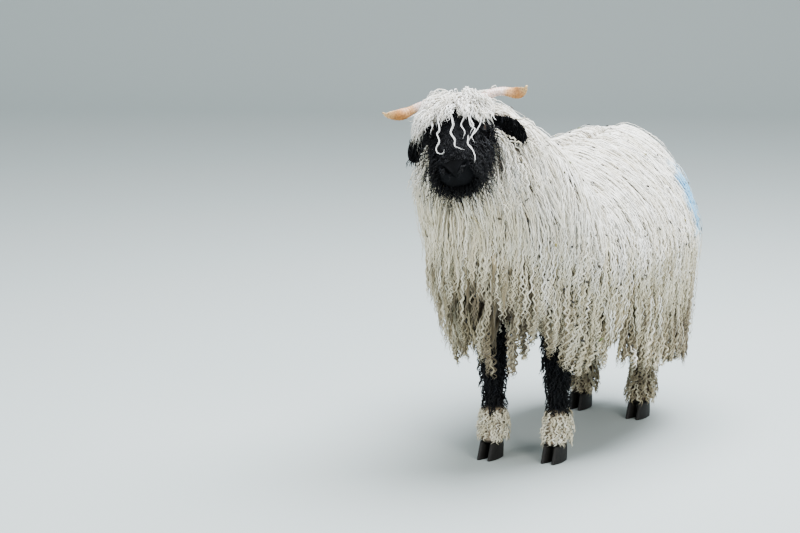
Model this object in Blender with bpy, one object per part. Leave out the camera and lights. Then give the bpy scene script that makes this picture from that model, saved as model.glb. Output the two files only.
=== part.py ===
# Valais Blacknose ewe, life size, standing square with her head turned to her left.
# Metres, +Z up. She faces -Y, so her left side is +X. The hooves stand on z = 0.
import math
import random

import bmesh
import bpy
from mathutils import Matrix, Vector

# Driving sizes of the body, measured on the skin
WITHERS_HEIGHT = 0.75
TRUNK_LENGTH = 0.83
TRUNK_WIDTH = 0.40
BRISKET_HEIGHT = 0.385
WIDEST_HEIGHT = 0.53
HEAD_LENGTH = 0.265
EYEBALL_RADIUS = 0.0145
CORONET_HEIGHT = 0.045
GAP = 0.0003

# Driving sizes of the fleece, from the skin out to the tips of the locks
FLEECE_SIDE = 0.105
FLEECE_TOP = 0.065
FLEECE_ENDS = 0.08
HEM_FRONT = 0.265
HEM_REAR = 0.165
CORE_SHARE = 0.45
ROOT_SHARE = 0.33

# Where the body stands in the frame, so that the origin is under the middle of its box
BODY_SHIFT = Vector((0.0, 0.117, 0.0))

# The head: where it joins the neck, and how far it is turned, dropped and tilted
HEAD_JOINT = Vector((-0.056, -0.530, 0.965))
HEAD_TURN = math.radians(20.5)
HEAD_DROP = math.radians(27)
HEAD_TILT = math.radians(-13.5)

# Shape powers: 2 is an ellipse, more is squarer
PLAN_POWER = 2.5
ROOF_POWER = 1.75
BELLY_POWER = 2.3
TOPLINE_POWER = 5.0
HEAD_POWER = 2.5

WOOL_WHITE = (0.80, 0.78, 0.71, 1)
WOOL_BLACK = (0.010, 0.010, 0.012, 1)
HORN_TAN = (0.62, 0.40, 0.20, 1)
HOOF_BLACK = (0.020, 0.017, 0.015, 1)
EYE_BROWN = (0.10, 0.05, 0.02, 1)


# Small helpers

def smooth(x):
    """0 to 1 with a soft start and end."""
    x = min(max(x, 0.0), 1.0)
    return x * x * (3 - 2 * x)


def power(x, p):
    """A sine or cosine bent towards a square by the power p, keeping its sign."""
    return math.copysign(abs(x) ** (2 / p), x)


def through(rows, f):
    """The values of rows at f, on a smooth curve through them. Each row starts with its own f."""
    last = len(rows) - 2
    i = next((k for k in range(last + 1) if f <= rows[k + 1][0]), last)
    a, b = rows[i], rows[i + 1]
    before, after = rows[max(i - 1, 0)], rows[min(i + 2, len(rows) - 1)]
    span = b[0] - a[0]
    t = (f - a[0]) / span
    found = []
    for k in range(1, len(a)):
        start = (b[k] - before[k]) / (b[0] - before[0]) * span
        end = (after[k] - a[k]) / (after[0] - a[0]) * span
        found.append(
            (2 * t**3 - 3 * t**2 + 1) * a[k]
            + (t**3 - 2 * t**2 + t) * start
            + (3 * t**2 - 2 * t**3) * b[k]
            + (t**3 - t**2) * end
        )
    return found


def material(name, colour, roughness):
    made = bpy.data.materials.new(name)
    made.use_nodes = True
    shader = made.node_tree.nodes["Principled BSDF"]
    shader.inputs["Base Color"].default_value = colour
    shader.inputs["Roughness"].default_value = roughness
    shader.inputs["Metallic"].default_value = 0.0
    return made


def body_from(name, points, faces):
    """A closed mesh object with its faces pointing out, in triangles."""
    mesh = bpy.data.meshes.new(name)
    mesh.from_pydata([tuple(p) for p in points], [], faces)
    shape = bmesh.new()
    shape.from_mesh(mesh)
    bmesh.ops.triangulate(shape, faces=shape.faces[:])
    bmesh.ops.recalc_face_normals(shape, faces=shape.faces[:])
    shape.to_mesh(mesh)
    shape.free()
    made = bpy.data.objects.new(name, mesh)
    bpy.context.scene.collection.objects.link(made)
    return made


def loft(name, rings, tip=None):
    """A closed body through rings of points, flat at its ends or drawn to a tip."""
    points = [p for ring in rings for p in ring]
    count = len(rings[0])
    faces = [tuple(range(count))]
    for r in range(len(rings) - 1):
        for k in range(count):
            a = r * count + k
            b = r * count + (k + 1) % count
            faces.append((a, b, b + count, a + count))
    last = (len(rings) - 1) * count
    if tip is None:
        faces.append(tuple(range(last, last + count)))
    else:
        points.append(tip)
        faces += [(last + k, last + (k + 1) % count, len(points) - 1) for k in range(count)]
    return body_from(name, points, faces)


def join_with(target, others, operation):
    """Fuses the others into target, or cuts them out of it, and removes them."""
    group = bpy.data.collections.new(target.name + "_" + operation.lower())
    bpy.context.scene.collection.children.link(group)
    for other in others:
        bpy.context.scene.collection.objects.unlink(other)
        group.objects.link(other)
    step = target.modifiers.new("join", "BOOLEAN")
    step.operation = operation
    step.operand_type = "COLLECTION"
    step.collection = group
    step.solver = "MANIFOLD"
    graph = bpy.context.evaluated_depsgraph_get()
    mesh = bpy.data.meshes.new_from_object(target.evaluated_get(graph))
    target.modifiers.clear()
    target.data = mesh
    for other in others:
        bpy.data.objects.remove(other)
    bpy.data.collections.remove(group)
    return target


def copy_of(source, name):
    made = bpy.data.objects.new(name, source.data.copy())
    bpy.context.scene.collection.objects.link(made)
    return made


def keep_largest(target):
    """Drops every closed surface but the one with the most volume."""
    shape = bmesh.new()
    shape.from_mesh(target.data)
    left = set(shape.faces)
    islands = []
    while left:
        island = [left.pop()]
        for face in island:
            for edge in face.edges:
                for other in edge.link_faces:
                    if other in left:
                        left.remove(other)
                        island.append(other)
        volume = sum(f.calc_center_median().dot(f.normal) * f.calc_area() for f in island)
        islands.append((abs(volume), island))
    islands.sort(key=lambda pair: pair[0])
    for _, island in islands[:-1]:
        bmesh.ops.delete(shape, geom=island, context="FACES")
    shape.to_mesh(target.data)
    shape.free()
    return target


def finish(target, look):
    target.data.materials.clear()
    target.data.materials.append(look)
    target.data.shade_smooth()
    target.data.set_sharp_from_angle(angle=math.radians(40))
    return target


# The trunk: rings across the body from the chest (u = -1) to the rump (u = 1)

TRUNK_STATIONS = 13
TRUNK_SIDES = 16
SHOULDER_NARROWING = 0.14
FRONT_TAPER = 0.17
REAR_TAPER = 0.06
RUMP_RISE = 0.055
POLE = 0.97


def trunk_size(u, grow):
    """Length position, half width and top height at u. grow is 0 on the skin and 1 at the tips."""
    turn = u * math.pi / 2
    half_length = TRUNK_LENGTH / 2 + FLEECE_ENDS * grow
    narrow = 1 - SHOULDER_NARROWING * smooth(-u * 1.2)
    half_width = TRUNK_WIDTH / 2 * narrow + FLEECE_SIDE * grow
    top = WITHERS_HEIGHT + FLEECE_TOP * grow + RUMP_RISE * smooth(u + 0.3)
    y = half_length * power(math.sin(turn), PLAN_POWER)
    width = half_width * power(math.cos(turn), PLAN_POWER)
    height = WIDEST_HEIGHT + (top - WIDEST_HEIGHT) * power(math.cos(turn), TOPLINE_POWER)
    return y, width, height


def trunk_ring(u, v, grow, side=1):
    """A point of the closed trunk. v goes round it: 0 at the spine, 0.5 at the widest, 1 at the belly."""
    y, width, top = trunk_size(u, grow)
    turn = v * math.pi
    belly = WIDEST_HEIGHT - (WIDEST_HEIGHT - BRISKET_HEIGHT) * power(
        math.cos(u * math.pi / 2), TOPLINE_POWER
    )
    reach, bend = (top - WIDEST_HEIGHT, ROOF_POWER) if v < 0.5 else (WIDEST_HEIGHT - belly, BELLY_POWER)
    x = width * power(math.sin(turn), bend)
    z = WIDEST_HEIGHT + reach * power(math.cos(turn), bend)
    return Vector((side * x, y, z))


def fleece_point(u, v, grow, side=1):
    """A point in the fleece: as trunk_ring down to the widest level, then down to the hem (v = 1)."""
    if v <= 0.5:
        return trunk_ring(u, v, grow, side)
    y, width, _ = trunk_size(u, grow)
    down = 2 * v - 1
    along = smooth((u + 1) / 2)
    hem = HEM_FRONT + (HEM_REAR - HEM_FRONT) * along
    in_by = 1 - (FRONT_TAPER + (REAR_TAPER - FRONT_TAPER) * along) * down
    z = WIDEST_HEIGHT - (WIDEST_HEIGHT - hem) * down
    return Vector((side * width * in_by, y * in_by, z))


def trunk_core():
    rings = []
    for s in range(TRUNK_STATIONS):
        u = POLE * (2 * s / (TRUNK_STATIONS - 1) - 1)
        ring = []
        for k in range(TRUNK_SIDES):
            v = 2 * k / TRUNK_SIDES
            side = 1 if v <= 1 else -1
            ring.append(trunk_ring(u, v if v <= 1 else 2 - v, CORE_SHARE, side))
        rings.append(ring)
    return loft("trunk_core", rings)


# Locks: flat underneath, with a ridge down the outer side, and tapered to a tip

def lock(points, outward, width, thickness):
    """A lock along the points, its last point the tip. outward gives the side away from the body at each."""
    rings = []
    last = len(points) - 1
    for i in range(last):
        t = i / last
        along = (points[i + 1] - points[max(i - 1, 0)]).normalized()
        across = along.cross(outward[i]).normalized()
        out = across.cross(along)
        full = (0.75 + 0.25 * smooth(t * 3)) * (1 - t**2.4)
        half_width = across * width / 2 * full
        ridge = out * thickness * (0.5 + 0.5 * full)
        p = points[i]
        rings.append([p + half_width, p + ridge, p - half_width])
    return loft("lock", rings, points[-1])


LOCK_POINTS = 5
TRUNK_LOCK_POINTS = 4
WAVE = 0.013
# Each row: root level, tip level, locks on a side, width, thickness, share of the fleece's depth at the tips
TRUNK_ROWS = [
    (0.02, 0.32, 9, 0.112, 0.014, 0.94),
    (0.20, 0.54, 9, 0.130, 0.022, 1.0),
    (0.38, 0.80, 10, 0.128, 0.026, 1.0),
    (0.58, 0.97, 9, 0.134, 0.026, 0.98),
    (0.72, 1.00, 7, 0.140, 0.026, 0.78),
]
PLAN_STEPS = 200


def even_places(count, shift):
    """u for places evenly spread round the plan of one side, from the chest to the rump."""
    marks = [(2 * k / PLAN_STEPS - 1) * POLE for k in range(PLAN_STEPS + 1)]
    lengths = [0.0]
    for before, after in zip(marks, marks[1:]):
        a, b = trunk_size(before, 1), trunk_size(after, 1)
        lengths.append(lengths[-1] + math.hypot(b[0] - a[0], b[1] - a[1]))
    places = []
    for k in range(count):
        wanted = lengths[-1] * (k + 0.5 + shift) / count
        places.append(next(u for u, length in zip(marks, lengths) if length >= wanted))
    return places


def trunk_lock(draw, side, u, row):
    """One hanging lock of the trunk, rooted in the core and lying on the fleece's outer face."""
    root_level, tip_level, _, width, thickness, depth = row
    root = trunk_ring(u, root_level, ROOT_SHARE, side)
    tip_level = min(tip_level + draw.uniform(-0.035, 0.02), 1.0)
    phase = draw.uniform(0, math.tau)
    points = []
    outward = []
    for i in range(TRUNK_LOCK_POINTS):
        t = i / (TRUNK_LOCK_POINTS - 1)
        v = root_level + (tip_level - root_level) * t
        place = fleece_point(u, v, depth * (0.72 + 0.28 * t), side)
        place.y += WAVE * math.sin(phase + math.tau * 1.1 * t) * smooth(t * 2)
        points.append(root.lerp(place, smooth(t * 1.8)))
        outward.append(fleece_point(u, v, 1, side) - fleece_point(u, v, 0, side))
    return lock(points, outward, width * draw.uniform(0.88, 1.12), thickness)


def trunk_locks(draw):
    made = []
    for number, row in enumerate(TRUNK_ROWS):
        for side in (-1, 1):
            for u in even_places(row[2], 0.25 * (-1) ** number):
                made.append(trunk_lock(draw, side, u, row))
    return made


# The neck: tilted rings from inside the shoulders up to the head

# share of the way up, centre x, y, z, half width, reach to the throat, reach to the nape
NECK_STATIONS = [
    (0.0, 0.0, -0.270, 0.570, 0.160, 0.140, 0.160),
    (0.35, -0.012, -0.370, 0.690, 0.140, 0.135, 0.125),
    (0.7, -0.034, -0.465, 0.840, 0.112, 0.110, 0.085),
    (1.0, -0.054, -0.515, 0.938, 0.074, 0.080, 0.058),
]
NECK_LEAN = Vector((0.0, -0.60, 0.80)).normalized()
NECK_SIDES = 14
NECK_RINGS = 6
NECK_FLEECE = 0.085
POLL_FLEECE = 0.035
BIB_FLEECE = 0.105


def neck_point(f, turn, grow):
    """A point of the neck. turn is 0 at the throat, pi at the nape; grow is 0 on the skin, 1 at the tips."""
    x, y, z, half_width, throat, nape = through(NECK_STATIONS, f)
    to_throat = Vector((0, -NECK_LEAN.z, NECK_LEAN.y))
    forward = math.cos(turn)
    fleece = NECK_FLEECE + (POLL_FLEECE - NECK_FLEECE) * smooth(f * 1.6 - 0.6)
    reach = throat + BIB_FLEECE * grow if forward > 0 else nape + fleece * grow
    across = (half_width + fleece * grow) * math.sin(turn)
    return Vector((x + across, y, z)) + to_throat * reach * forward


def neck_core():
    rings = []
    for s in range(NECK_RINGS):
        f = s / (NECK_RINGS - 1)
        ring = [neck_point(f, math.tau * k / NECK_SIDES, CORE_SHARE) for k in range(NECK_SIDES)]
        rings.append(ring)
    return loft("neck_core", rings)


# Each row: height of the roots and of the tips up the neck, locks round it, width
NECK_LOCK_THICKNESS = 0.024
NECK_ROWS = [
    (0.97, 0.50, 9, 0.110),
    (0.66, 0.18, 10, 0.126),
    (0.36, -0.10, 8, 0.156),
]


def neck_locks(draw):
    made = []
    for root_f, tip_f, count, width in NECK_ROWS:
        for k in range(count):
            turn = math.tau * (k + 0.5 * (root_f < 0.7)) / count + draw.uniform(-0.05, 0.05)
            root = neck_point(root_f, turn, ROOT_SHARE)
            points = []
            outward = []
            phase = draw.uniform(0, math.tau)
            for i in range(LOCK_POINTS):
                t = i / (LOCK_POINTS - 1)
                f = root_f + (tip_f - root_f) * t
                place = neck_point(f, turn, 0.72 + 0.28 * t)
                place.x += WAVE * math.sin(phase + math.tau * t) * smooth(t * 2)
                points.append(root.lerp(place, smooth(t * 1.8)))
                outward.append(neck_point(f, turn, 1) - neck_point(f, turn, 0))
            made.append(lock(points, outward, width * draw.uniform(0.9, 1.1), NECK_LOCK_THICKNESS))
    return made


# The head, in its own frame: nose to -Y, crown up, its left to +X, its origin at the neck joint

# share of the length, half width, top, bottom
HEAD_STATIONS = [
    (0.00, 0.038, 0.030, -0.045),
    (0.08, 0.054, 0.048, -0.068),
    (0.22, 0.065, 0.061, -0.082),
    (0.40, 0.069, 0.060, -0.082),
    (0.55, 0.061, 0.052, -0.078),
    (0.70, 0.053, 0.041, -0.073),
    (0.84, 0.051, 0.030, -0.069),
    (0.94, 0.046, 0.015, -0.062),
    (1.00, 0.031, -0.005, -0.046),
]
HEAD_SIDES = 20
HEAD_FRAME = (
    Matrix.Translation(HEAD_JOINT)
    @ Matrix.Rotation(HEAD_TURN, 4, "Z")
    @ Matrix.Rotation(HEAD_DROP, 4, "X")
    @ Matrix.Rotation(HEAD_TILT, 4, "Y")
)
DOWN = HEAD_FRAME.to_3x3().inverted() @ Vector((0, 0, -1))


def head_point(f, turn, grow=0.0):
    """A point of the head. turn is 0 on its left, a quarter at the crown; grow is metres off the skin."""
    half_width, top, bottom = through(HEAD_STATIONS, f)
    middle = (top + bottom) / 2
    x = (half_width + grow) * power(math.cos(turn), HEAD_POWER)
    z = middle + ((top - bottom) / 2 + grow) * power(math.sin(turn), HEAD_POWER)
    return Vector((x, -HEAD_LENGTH * f, z))


HEAD_RINGS = [0.0, 0.05, 0.14, 0.24, 0.33, 0.42, 0.51, 0.60, 0.69, 0.77, 0.84, 0.90, 0.95, 0.985, 1.0]


def head_core():
    rings = [[head_point(f, math.tau * k / HEAD_SIDES) for k in range(HEAD_SIDES)] for f in HEAD_RINGS]
    return loft("head_core", rings)


EYE_SHARE = 0.46
EYE_OUT = 0.0585
EYE_UP = 0.014
LID_RADIUS = 0.0042
LID_STEPS = 7


def eye_centre(side):
    return Vector((side * EYE_OUT, -HEAD_LENGTH * EYE_SHARE, EYE_UP))


def ball(name, centre, radius, across=10, rings=6):
    shape = bmesh.new()
    bmesh.ops.create_uvsphere(shape, u_segments=across, v_segments=rings, radius=radius)
    bmesh.ops.rotate(shape, verts=shape.verts, matrix=Matrix.Rotation(math.pi / 2, 3, "Y"))
    bmesh.ops.translate(shape, verts=shape.verts, vec=centre)
    mesh = bpy.data.meshes.new(name)
    shape.to_mesh(mesh)
    shape.free()
    made = bpy.data.objects.new(name, mesh)
    bpy.context.scene.collection.objects.link(made)
    return made


def tube(name, points, radii, sides=6):
    """A round bar along the points, with a radius at each, flat at both ends."""
    rings = []
    for i, p in enumerate(points):
        along = (points[min(i + 1, len(points) - 1)] - points[max(i - 1, 0)]).normalized()
        first = along.orthogonal().normalized() if i == 0 else (first - along * first.dot(along)).normalized()
        second = along.cross(first)
        turns = [math.tau * k / sides for k in range(sides)]
        rings.append([p + (first * math.cos(a) + second * math.sin(a)) * radii[i] for a in turns])
    return loft(name, rings)


def eyelid(side, upper):
    """One lid: a roll of skin over the eyeball, from corner to corner."""
    points = []
    for i in range(LID_STEPS):
        a = math.pi * i / (LID_STEPS - 1)
        along = EYEBALL_RADIUS * 1.15 * math.cos(a)
        rise = EYEBALL_RADIUS * (0.72 if upper else -0.62) * math.sin(a)
        out = EYEBALL_RADIUS * (0.42 + 0.40 * math.sin(a))
        points.append(eye_centre(side) + Vector((side * out, along, rise)))
    return tube("lid", points, [LID_RADIUS] * LID_STEPS, 5)


MOUTH_UP = -0.026
MOUTH_SHARE = 0.72
MOUTH_STEPS = 11
MOUTH_RADIUS = 0.0028
LIP_RADIUS = 0.0065


def mouth_path(off, up):
    """The line of the mouth round the muzzle, from corner to corner, off metres outside the skin."""
    points = []
    for i in range(MOUTH_STEPS):
        a = math.pi * i / (MOUTH_STEPS - 1)
        f = MOUTH_SHARE + (0.995 - MOUTH_SHARE) * math.sin(a) ** 0.6
        half_width = through(HEAD_STATIONS, f)[0]
        x = (half_width + off) * math.copysign(abs(math.cos(a)) ** 0.7, math.cos(a))
        y = -HEAD_LENGTH * f - off * math.sin(a)
        points.append(Vector((x, y, MOUTH_UP + up + 0.008 * abs(math.cos(a)) ** 2)))
    return points


def lips():
    """The rolls of the upper and the lower lip, which meet at the line of the mouth."""
    made = []
    for up in (0.8 * LIP_RADIUS, -0.8 * LIP_RADIUS):
        path = mouth_path(-0.6 * LIP_RADIUS, up)
        made.append(tube("lip", path, [LIP_RADIUS] * len(path), 5))
    return made


def mouth_line():
    path = mouth_path(0.0015, 0.0)
    return tube("mouth", path, [MOUTH_RADIUS] * len(path), 5)


def nostril(side):
    """The slit of one nostril, a comma that runs out and up."""
    points = [
        Vector((side * 0.009, -HEAD_LENGTH * 1.03, -0.014)),
        Vector((side * 0.017, -HEAD_LENGTH * 1.005, -0.004)),
        Vector((side * 0.027, -HEAD_LENGTH * 0.965, 0.003)),
        Vector((side * 0.031, -HEAD_LENGTH * 0.93, 0.002)),
    ]
    return tube("nostril", points, [0.0035, 0.0055, 0.0050, 0.0030], 6)


# Rows of head locks. Each: share of the head's length, turns from the crown in degrees (a side's turn
# is mirrored on the other), length, width, thickness, how far it stands out and how far it runs forward
CROWN_ROWS = [
    (0.03, (0, 36), 0.085, 0.060, 0.024, 0.8, 0.60),
    (0.17, (18, 54), 0.090, 0.056, 0.022, 0.7, 0.75),
    (0.30, (0, 32), 0.080, 0.044, 0.018, 0.55, 0.85),
]
CHEEK_ROWS = [
    (0.04, (96, 136), 0.095, 0.054, 0.024, 1.2, 0.05),
    (0.20, (82,), 0.050, 0.046, 0.022, 1.3, 0.25),
    (0.22, (118, 146), 0.095, 0.050, 0.022, 1.3, 0.10),
    (0.35, (112, 142), 0.070, 0.040, 0.018, 1.0, 0.05),
]
CURL_ROWS = [
    (0.35, (70,), 0.040, 0.028, 0.014, 0.7, 0.3),
    (0.47, (96, 130, 164), 0.042, 0.030, 0.014, 0.6, 0.1),
    (0.60, (88, 122, 156), 0.040, 0.028, 0.013, 0.55, 0.1),
    (0.73, (106, 142, 180), 0.038, 0.027, 0.012, 0.5, 0.1),
    (0.88, (128, 156), 0.044, 0.032, 0.014, 0.9, 0.15),
    (0.93, (180,), 0.048, 0.038, 0.016, 1.0, 0.3),
]
HEAD_LOCK_POINTS = 5


def head_lock(draw, f, turn, row):
    """A lock of the head that rises off the skin, runs forward and falls with gravity."""
    length, width, thickness, lift, forward = row[2:]
    skin = head_point(f, turn)
    out = (head_point(f, turn, 0.02) - skin).normalized()
    here = head_point(f, turn, -0.007)
    points = [here]
    heading = (out * lift + Vector((0, -forward, 0)) + DOWN * 0.5).normalized()
    length *= draw.uniform(0.85, 1.1)
    for i in range(1, HEAD_LOCK_POINTS):
        t = i / (HEAD_LOCK_POINTS - 1)
        here = clear_of_head(here + heading * length / (HEAD_LOCK_POINTS - 1), 0.006 + thickness * 0.5)
        heading = (heading + DOWN * 0.45 - Vector((0, forward * 0.12, 0))).normalized()
        points.append(here)
    return lock(points, [out] * len(points), width * draw.uniform(0.9, 1.1), thickness)


def clear_of_head(p, off):
    """p, moved out so that it is at least off metres from the head's skin."""
    f = min(max(-p.y / HEAD_LENGTH, 0.0), 1.0)
    half_width, top, bottom = through(HEAD_STATIONS, f)
    middle = (top + bottom) / 2
    a, b = half_width + off, (top - bottom) / 2 + off
    inside = (abs(p.x / a) ** HEAD_POWER + abs((p.z - middle) / b) ** HEAD_POWER) ** (1 / HEAD_POWER)
    if inside >= 1 or inside == 0:
        return p
    return Vector((p.x / inside, p.y, middle + (p.z - middle) / inside))


def head_locks(draw):
    made = []
    for row in CROWN_ROWS + CHEEK_ROWS + CURL_ROWS:
        for turn in row[1]:
            for side in (-1, 1) if 0 < turn < 180 else (1,):
                angle = math.pi / 2 - side * math.radians(turn + draw.uniform(-4, 4))
                made.append(head_lock(draw, row[0], angle, row))
    return made


# Horns and ears, in the head's frame

HORN_REACH = 0.152
HORN_STEPS = 10
HORN_SIDES = 6
# share of the length, broad half width, thin half width, turn of the broad side
HORN_STATIONS = [
    (0.0, 0.0170, 0.0140, 0.0),
    (0.35, 0.0145, 0.0115, 60.0),
    (0.6, 0.0130, 0.0095, 110.0),
    (0.78, 0.0150, 0.0060, 165.0),
    (0.9, 0.0110, 0.0045, 190.0),
    (1.0, 0.0025, 0.0020, 205.0),
]


def horn_axis(t, side):
    """The middle of the horn: out and back from the crown, down a little, then forward and up."""
    x = 0.036 + HORN_REACH * t
    y = -0.048 + 0.050 * math.sin(math.pi * min(t * 1.05, 1)) - 0.012 * t
    z = 0.036 - 0.011 * math.sin(math.pi * t * t) ** 2 + 0.034 * t**5
    return Vector((side * x, y, z))


def horn(name, side, grow=0.0):
    """A slim horn that flattens to a blade and winds half a turn. grow makes the room that it needs."""
    rings = []
    for s in range(HORN_STEPS):
        t = s / (HORN_STEPS - 1)
        broad, thin, twist = through(HORN_STATIONS, t)
        along = (horn_axis(t + 0.01, side) - horn_axis(t - 0.01, side)).normalized()
        first = (Vector((0, 0, 1)) - along * along.z).normalized()
        second = along.cross(first)
        turned = side * math.radians(twist)
        wide = first * math.cos(turned) + second * math.sin(turned)
        narrow = second * math.cos(turned) - first * math.sin(turned)
        start = horn_axis(t, side) - along * (grow if s == 0 else 0.0)
        ring = []
        for k in range(HORN_SIDES):
            a = math.tau * k / HORN_SIDES
            ring.append(start + wide * (broad + grow) * math.cos(a) + narrow * (thin + grow) * math.sin(a))
        rings.append(ring)
    return loft(name, rings)


EAR_LENGTH = 0.148
EAR_BEND = 0.31
EAR_DROOP = 0.044
EAR_HALF_WIDTH = 0.029
EAR_THICKNESS = 0.0042
EAR_CLEARANCE = 0.0006
EAR_ROOT = Vector((0.058, -0.050, 0.002))
EAR_WAY = Vector((0.95, 0.06, -0.58)).normalized()
EAR_OPENING = Vector((0.0, -1.0, 0.1))
EAR_WIDEST = 0.55
EAR_ROOT_ROLL = math.radians(150)
EAR_TIP_ROLL = math.radians(38)
EAR_STEPS = 7
EAR_ACROSS = 5


def ear(name, side, grow=0.0):
    """A drooping leaf, rolled into a cup that opens forward. grow makes the filled room that it needs."""
    way = Vector((side * EAR_WAY.x, EAR_WAY.y, EAR_WAY.z))
    root = Vector((side * EAR_ROOT.x, EAR_ROOT.y, EAR_ROOT.z))
    thickness = EAR_THICKNESS / 2 + grow
    rings = []
    for i in range(EAR_STEPS):
        a = i / (EAR_STEPS - 1)
        along = (way * EAR_LENGTH * (1 - 2 * EAR_BEND * a) + DOWN * 2 * EAR_DROOP * a).normalized()
        face = (EAR_OPENING - along * along.dot(EAR_OPENING)).normalized()
        across = along.cross(face)
        end = {0: -1, EAR_STEPS - 1: 1}.get(i, 0) * grow
        middle = root + way * EAR_LENGTH * (a - EAR_BEND * a * a) + DOWN * EAR_DROOP * a * a + along * end
        if a < EAR_WIDEST:
            wide = 0.42 + 0.58 * math.sin(math.pi * a**0.8) ** 0.8
        else:
            wide = math.sqrt(1 - ((a - EAR_WIDEST) / (1.02 - EAR_WIDEST)) ** 2)
        roll = EAR_TIP_ROLL + (EAR_ROOT_ROLL - EAR_TIP_ROLL) * (1 - smooth(a * 1.6))
        radius = EAR_HALF_WIDTH * wide / roll
        outer, inner = [], []
        for j in range(EAR_ACROSS + 1):
            b = (2 * j / EAR_ACROSS - 1) * roll
            out = across * math.sin(b) - face * math.cos(b)
            rim = {0: -1, EAR_ACROSS: 1}.get(j, 0) * grow
            edge = middle + face * radius + (across * math.cos(b) + face * math.sin(b)) * rim
            outer.append(edge + out * (radius + thickness))
            inner.append(edge + out * max(radius - thickness, 0.0008))
        rings.append(outer + ([inner[-1], inner[0]] if grow else inner[::-1]))
    return loft(name, rings)


# Legs: x and y of the foot, then rings from the hidden top down to the coronet

LEG_SIDES = 8
# height, step forward (-) or back (+), half width, half depth
FORE_LEG = [
    (0.0, 0.430, 0.000, 0.050, 0.062),
    (0.3, 0.330, 0.000, 0.037, 0.044),
    (0.5, 0.250, -0.004, 0.032, 0.034),
    (0.7, 0.150, 0.000, 0.025, 0.027),
    (0.88, 0.085, 0.002, 0.028, 0.032),
    (1.0, CORONET_HEIGHT, -0.010, 0.027, 0.034),
]
HIND_LEG = [
    (0.0, 0.450, -0.030, 0.058, 0.085),
    (0.25, 0.365, -0.004, 0.044, 0.060),
    (0.45, 0.285, 0.034, 0.031, 0.042),
    (0.68, 0.180, 0.028, 0.025, 0.029),
    (0.88, 0.090, 0.012, 0.028, 0.032),
    (1.0, CORONET_HEIGHT, -0.004, 0.027, 0.034),
]
# name, stations, foot x, foot y
LEGS = [
    ("fore_leg_left", FORE_LEG, 0.084, -0.245),
    ("fore_leg_right", FORE_LEG, -0.082, -0.290),
    ("hind_leg_left", HIND_LEG, 0.095, 0.300),
    ("hind_leg_right", HIND_LEG, -0.095, 0.325),
]
LEG_WOOL = 0.016
LEG_WOOL_TOP = 0.20


def leg_point(stations, foot, f, turn, grow):
    z, step, half_width, half_depth = through(stations, f)
    x = foot.x + (half_width + grow) * math.cos(turn)
    y = foot.y + step + (half_depth + grow) * math.sin(turn)
    return Vector((x, y, z))


def leg(name, stations, foot, grow=0.0, rise=0.0):
    """A leg, or with grow and rise the room that it needs in the fleece."""
    rings = []
    steps = 8
    for s in range(steps):
        f = s / (steps - 1)
        height = through(stations, f)[0]
        wool = LEG_WOOL * 1.5 * smooth((LEG_WOOL_TOP + 0.04 - height) / 0.05) if grow else 0.0
        ring = [
            leg_point(stations, foot, f, math.tau * k / LEG_SIDES, grow + wool) for k in range(LEG_SIDES)
        ]
        if s == 0:
            ring = [p + Vector((0, 0, rise)) for p in ring]
        rings.append(ring)
    return loft(name, rings)


# Rows of wool round the leg: share of the way down of the roots and of the tips, clumps, width
LEG_ROWS = [
    (0.68, 0.85, 4, 0.044),
    (0.80, 0.98, 5, 0.044),
]


def leg_clumps(draw, stations, foot):
    """Short curls of wool round the pastern, in staggered rows, the upper over the lower."""
    made = []
    for number, (root_f, tip_f, count, width) in enumerate(LEG_ROWS):
        for k in range(count):
            turn = math.tau * (k + 0.5 * (number % 2)) / count + draw.uniform(-0.1, 0.1)
            points = []
            for i in range(4):
                t = i / 3
                off = -0.006 + (LEG_WOOL + 0.006) * smooth(t * 1.4)
                points.append(leg_point(stations, foot, root_f + (tip_f - root_f) * t, turn, off))
            outward = [Vector((math.cos(turn), math.sin(turn), 0))] * 4
            made.append(lock(points, outward, width, 0.012))
    return made


CLAW_GAP = 0.0035
CLAW_HALF_WIDTH = 0.0135
CLAW_SIDES = 8


def claw(name, foot, step, side):
    """One claw of the cloven hoof: flat on the ground, upright inside, sloping to the toe."""
    middle = foot.x + side * (CLAW_HALF_WIDTH + CLAW_GAP / 2)
    rings = []
    # height, half width, toe and heel from the foot's middle
    for height, half, toe, heel in (
        (CORONET_HEIGHT - GAP, 0.0120, -0.036, 0.026),
        (0.030, 0.0130, -0.043, 0.028),
        (0.0, CLAW_HALF_WIDTH, -0.056, 0.027),
    ):
        ring = []
        for k in range(CLAW_SIDES):
            a = math.tau * k / CLAW_SIDES
            front = math.sin(a) > 0
            narrow = 1 - 0.45 * max(math.sin(a), 0) ** 2
            x = middle + half * power(math.cos(a), 2.6) * narrow
            centre = foot.y + step + (toe + heel) / 2
            y = centre - (heel - toe) / 2 * power(math.sin(a), 2.0 if front else 2.6)
            ring.append(Vector((x, y, height)))
        rings.append(ring)
    return loft(name, rings)


# The tail hangs behind the rump, from the croup to above the hocks

TAIL_STATIONS = [
    (0.0, 0.370, 0.700, 0.028),
    (0.2, 0.440, 0.665, 0.026),
    (0.45, 0.470, 0.570, 0.023),
    (0.75, 0.470, 0.470, 0.019),
    (1.0, 0.465, 0.390, 0.013),
]
TAIL_SIDES = 8
TAIL_STEPS = 7
TAIL_WOOL = 0.020
TAIL_CLEARANCE = 0.06


def tail_path():
    rows = [through(TAIL_STATIONS, s / (TAIL_STEPS - 1)) for s in range(TAIL_STEPS)]
    return [Vector((0, y, z)) for y, z, _ in rows], [r for _, _, r in rows]


def tail_core():
    points, radii = tail_path()
    return tube("tail", points, radii, TAIL_SIDES)


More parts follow.
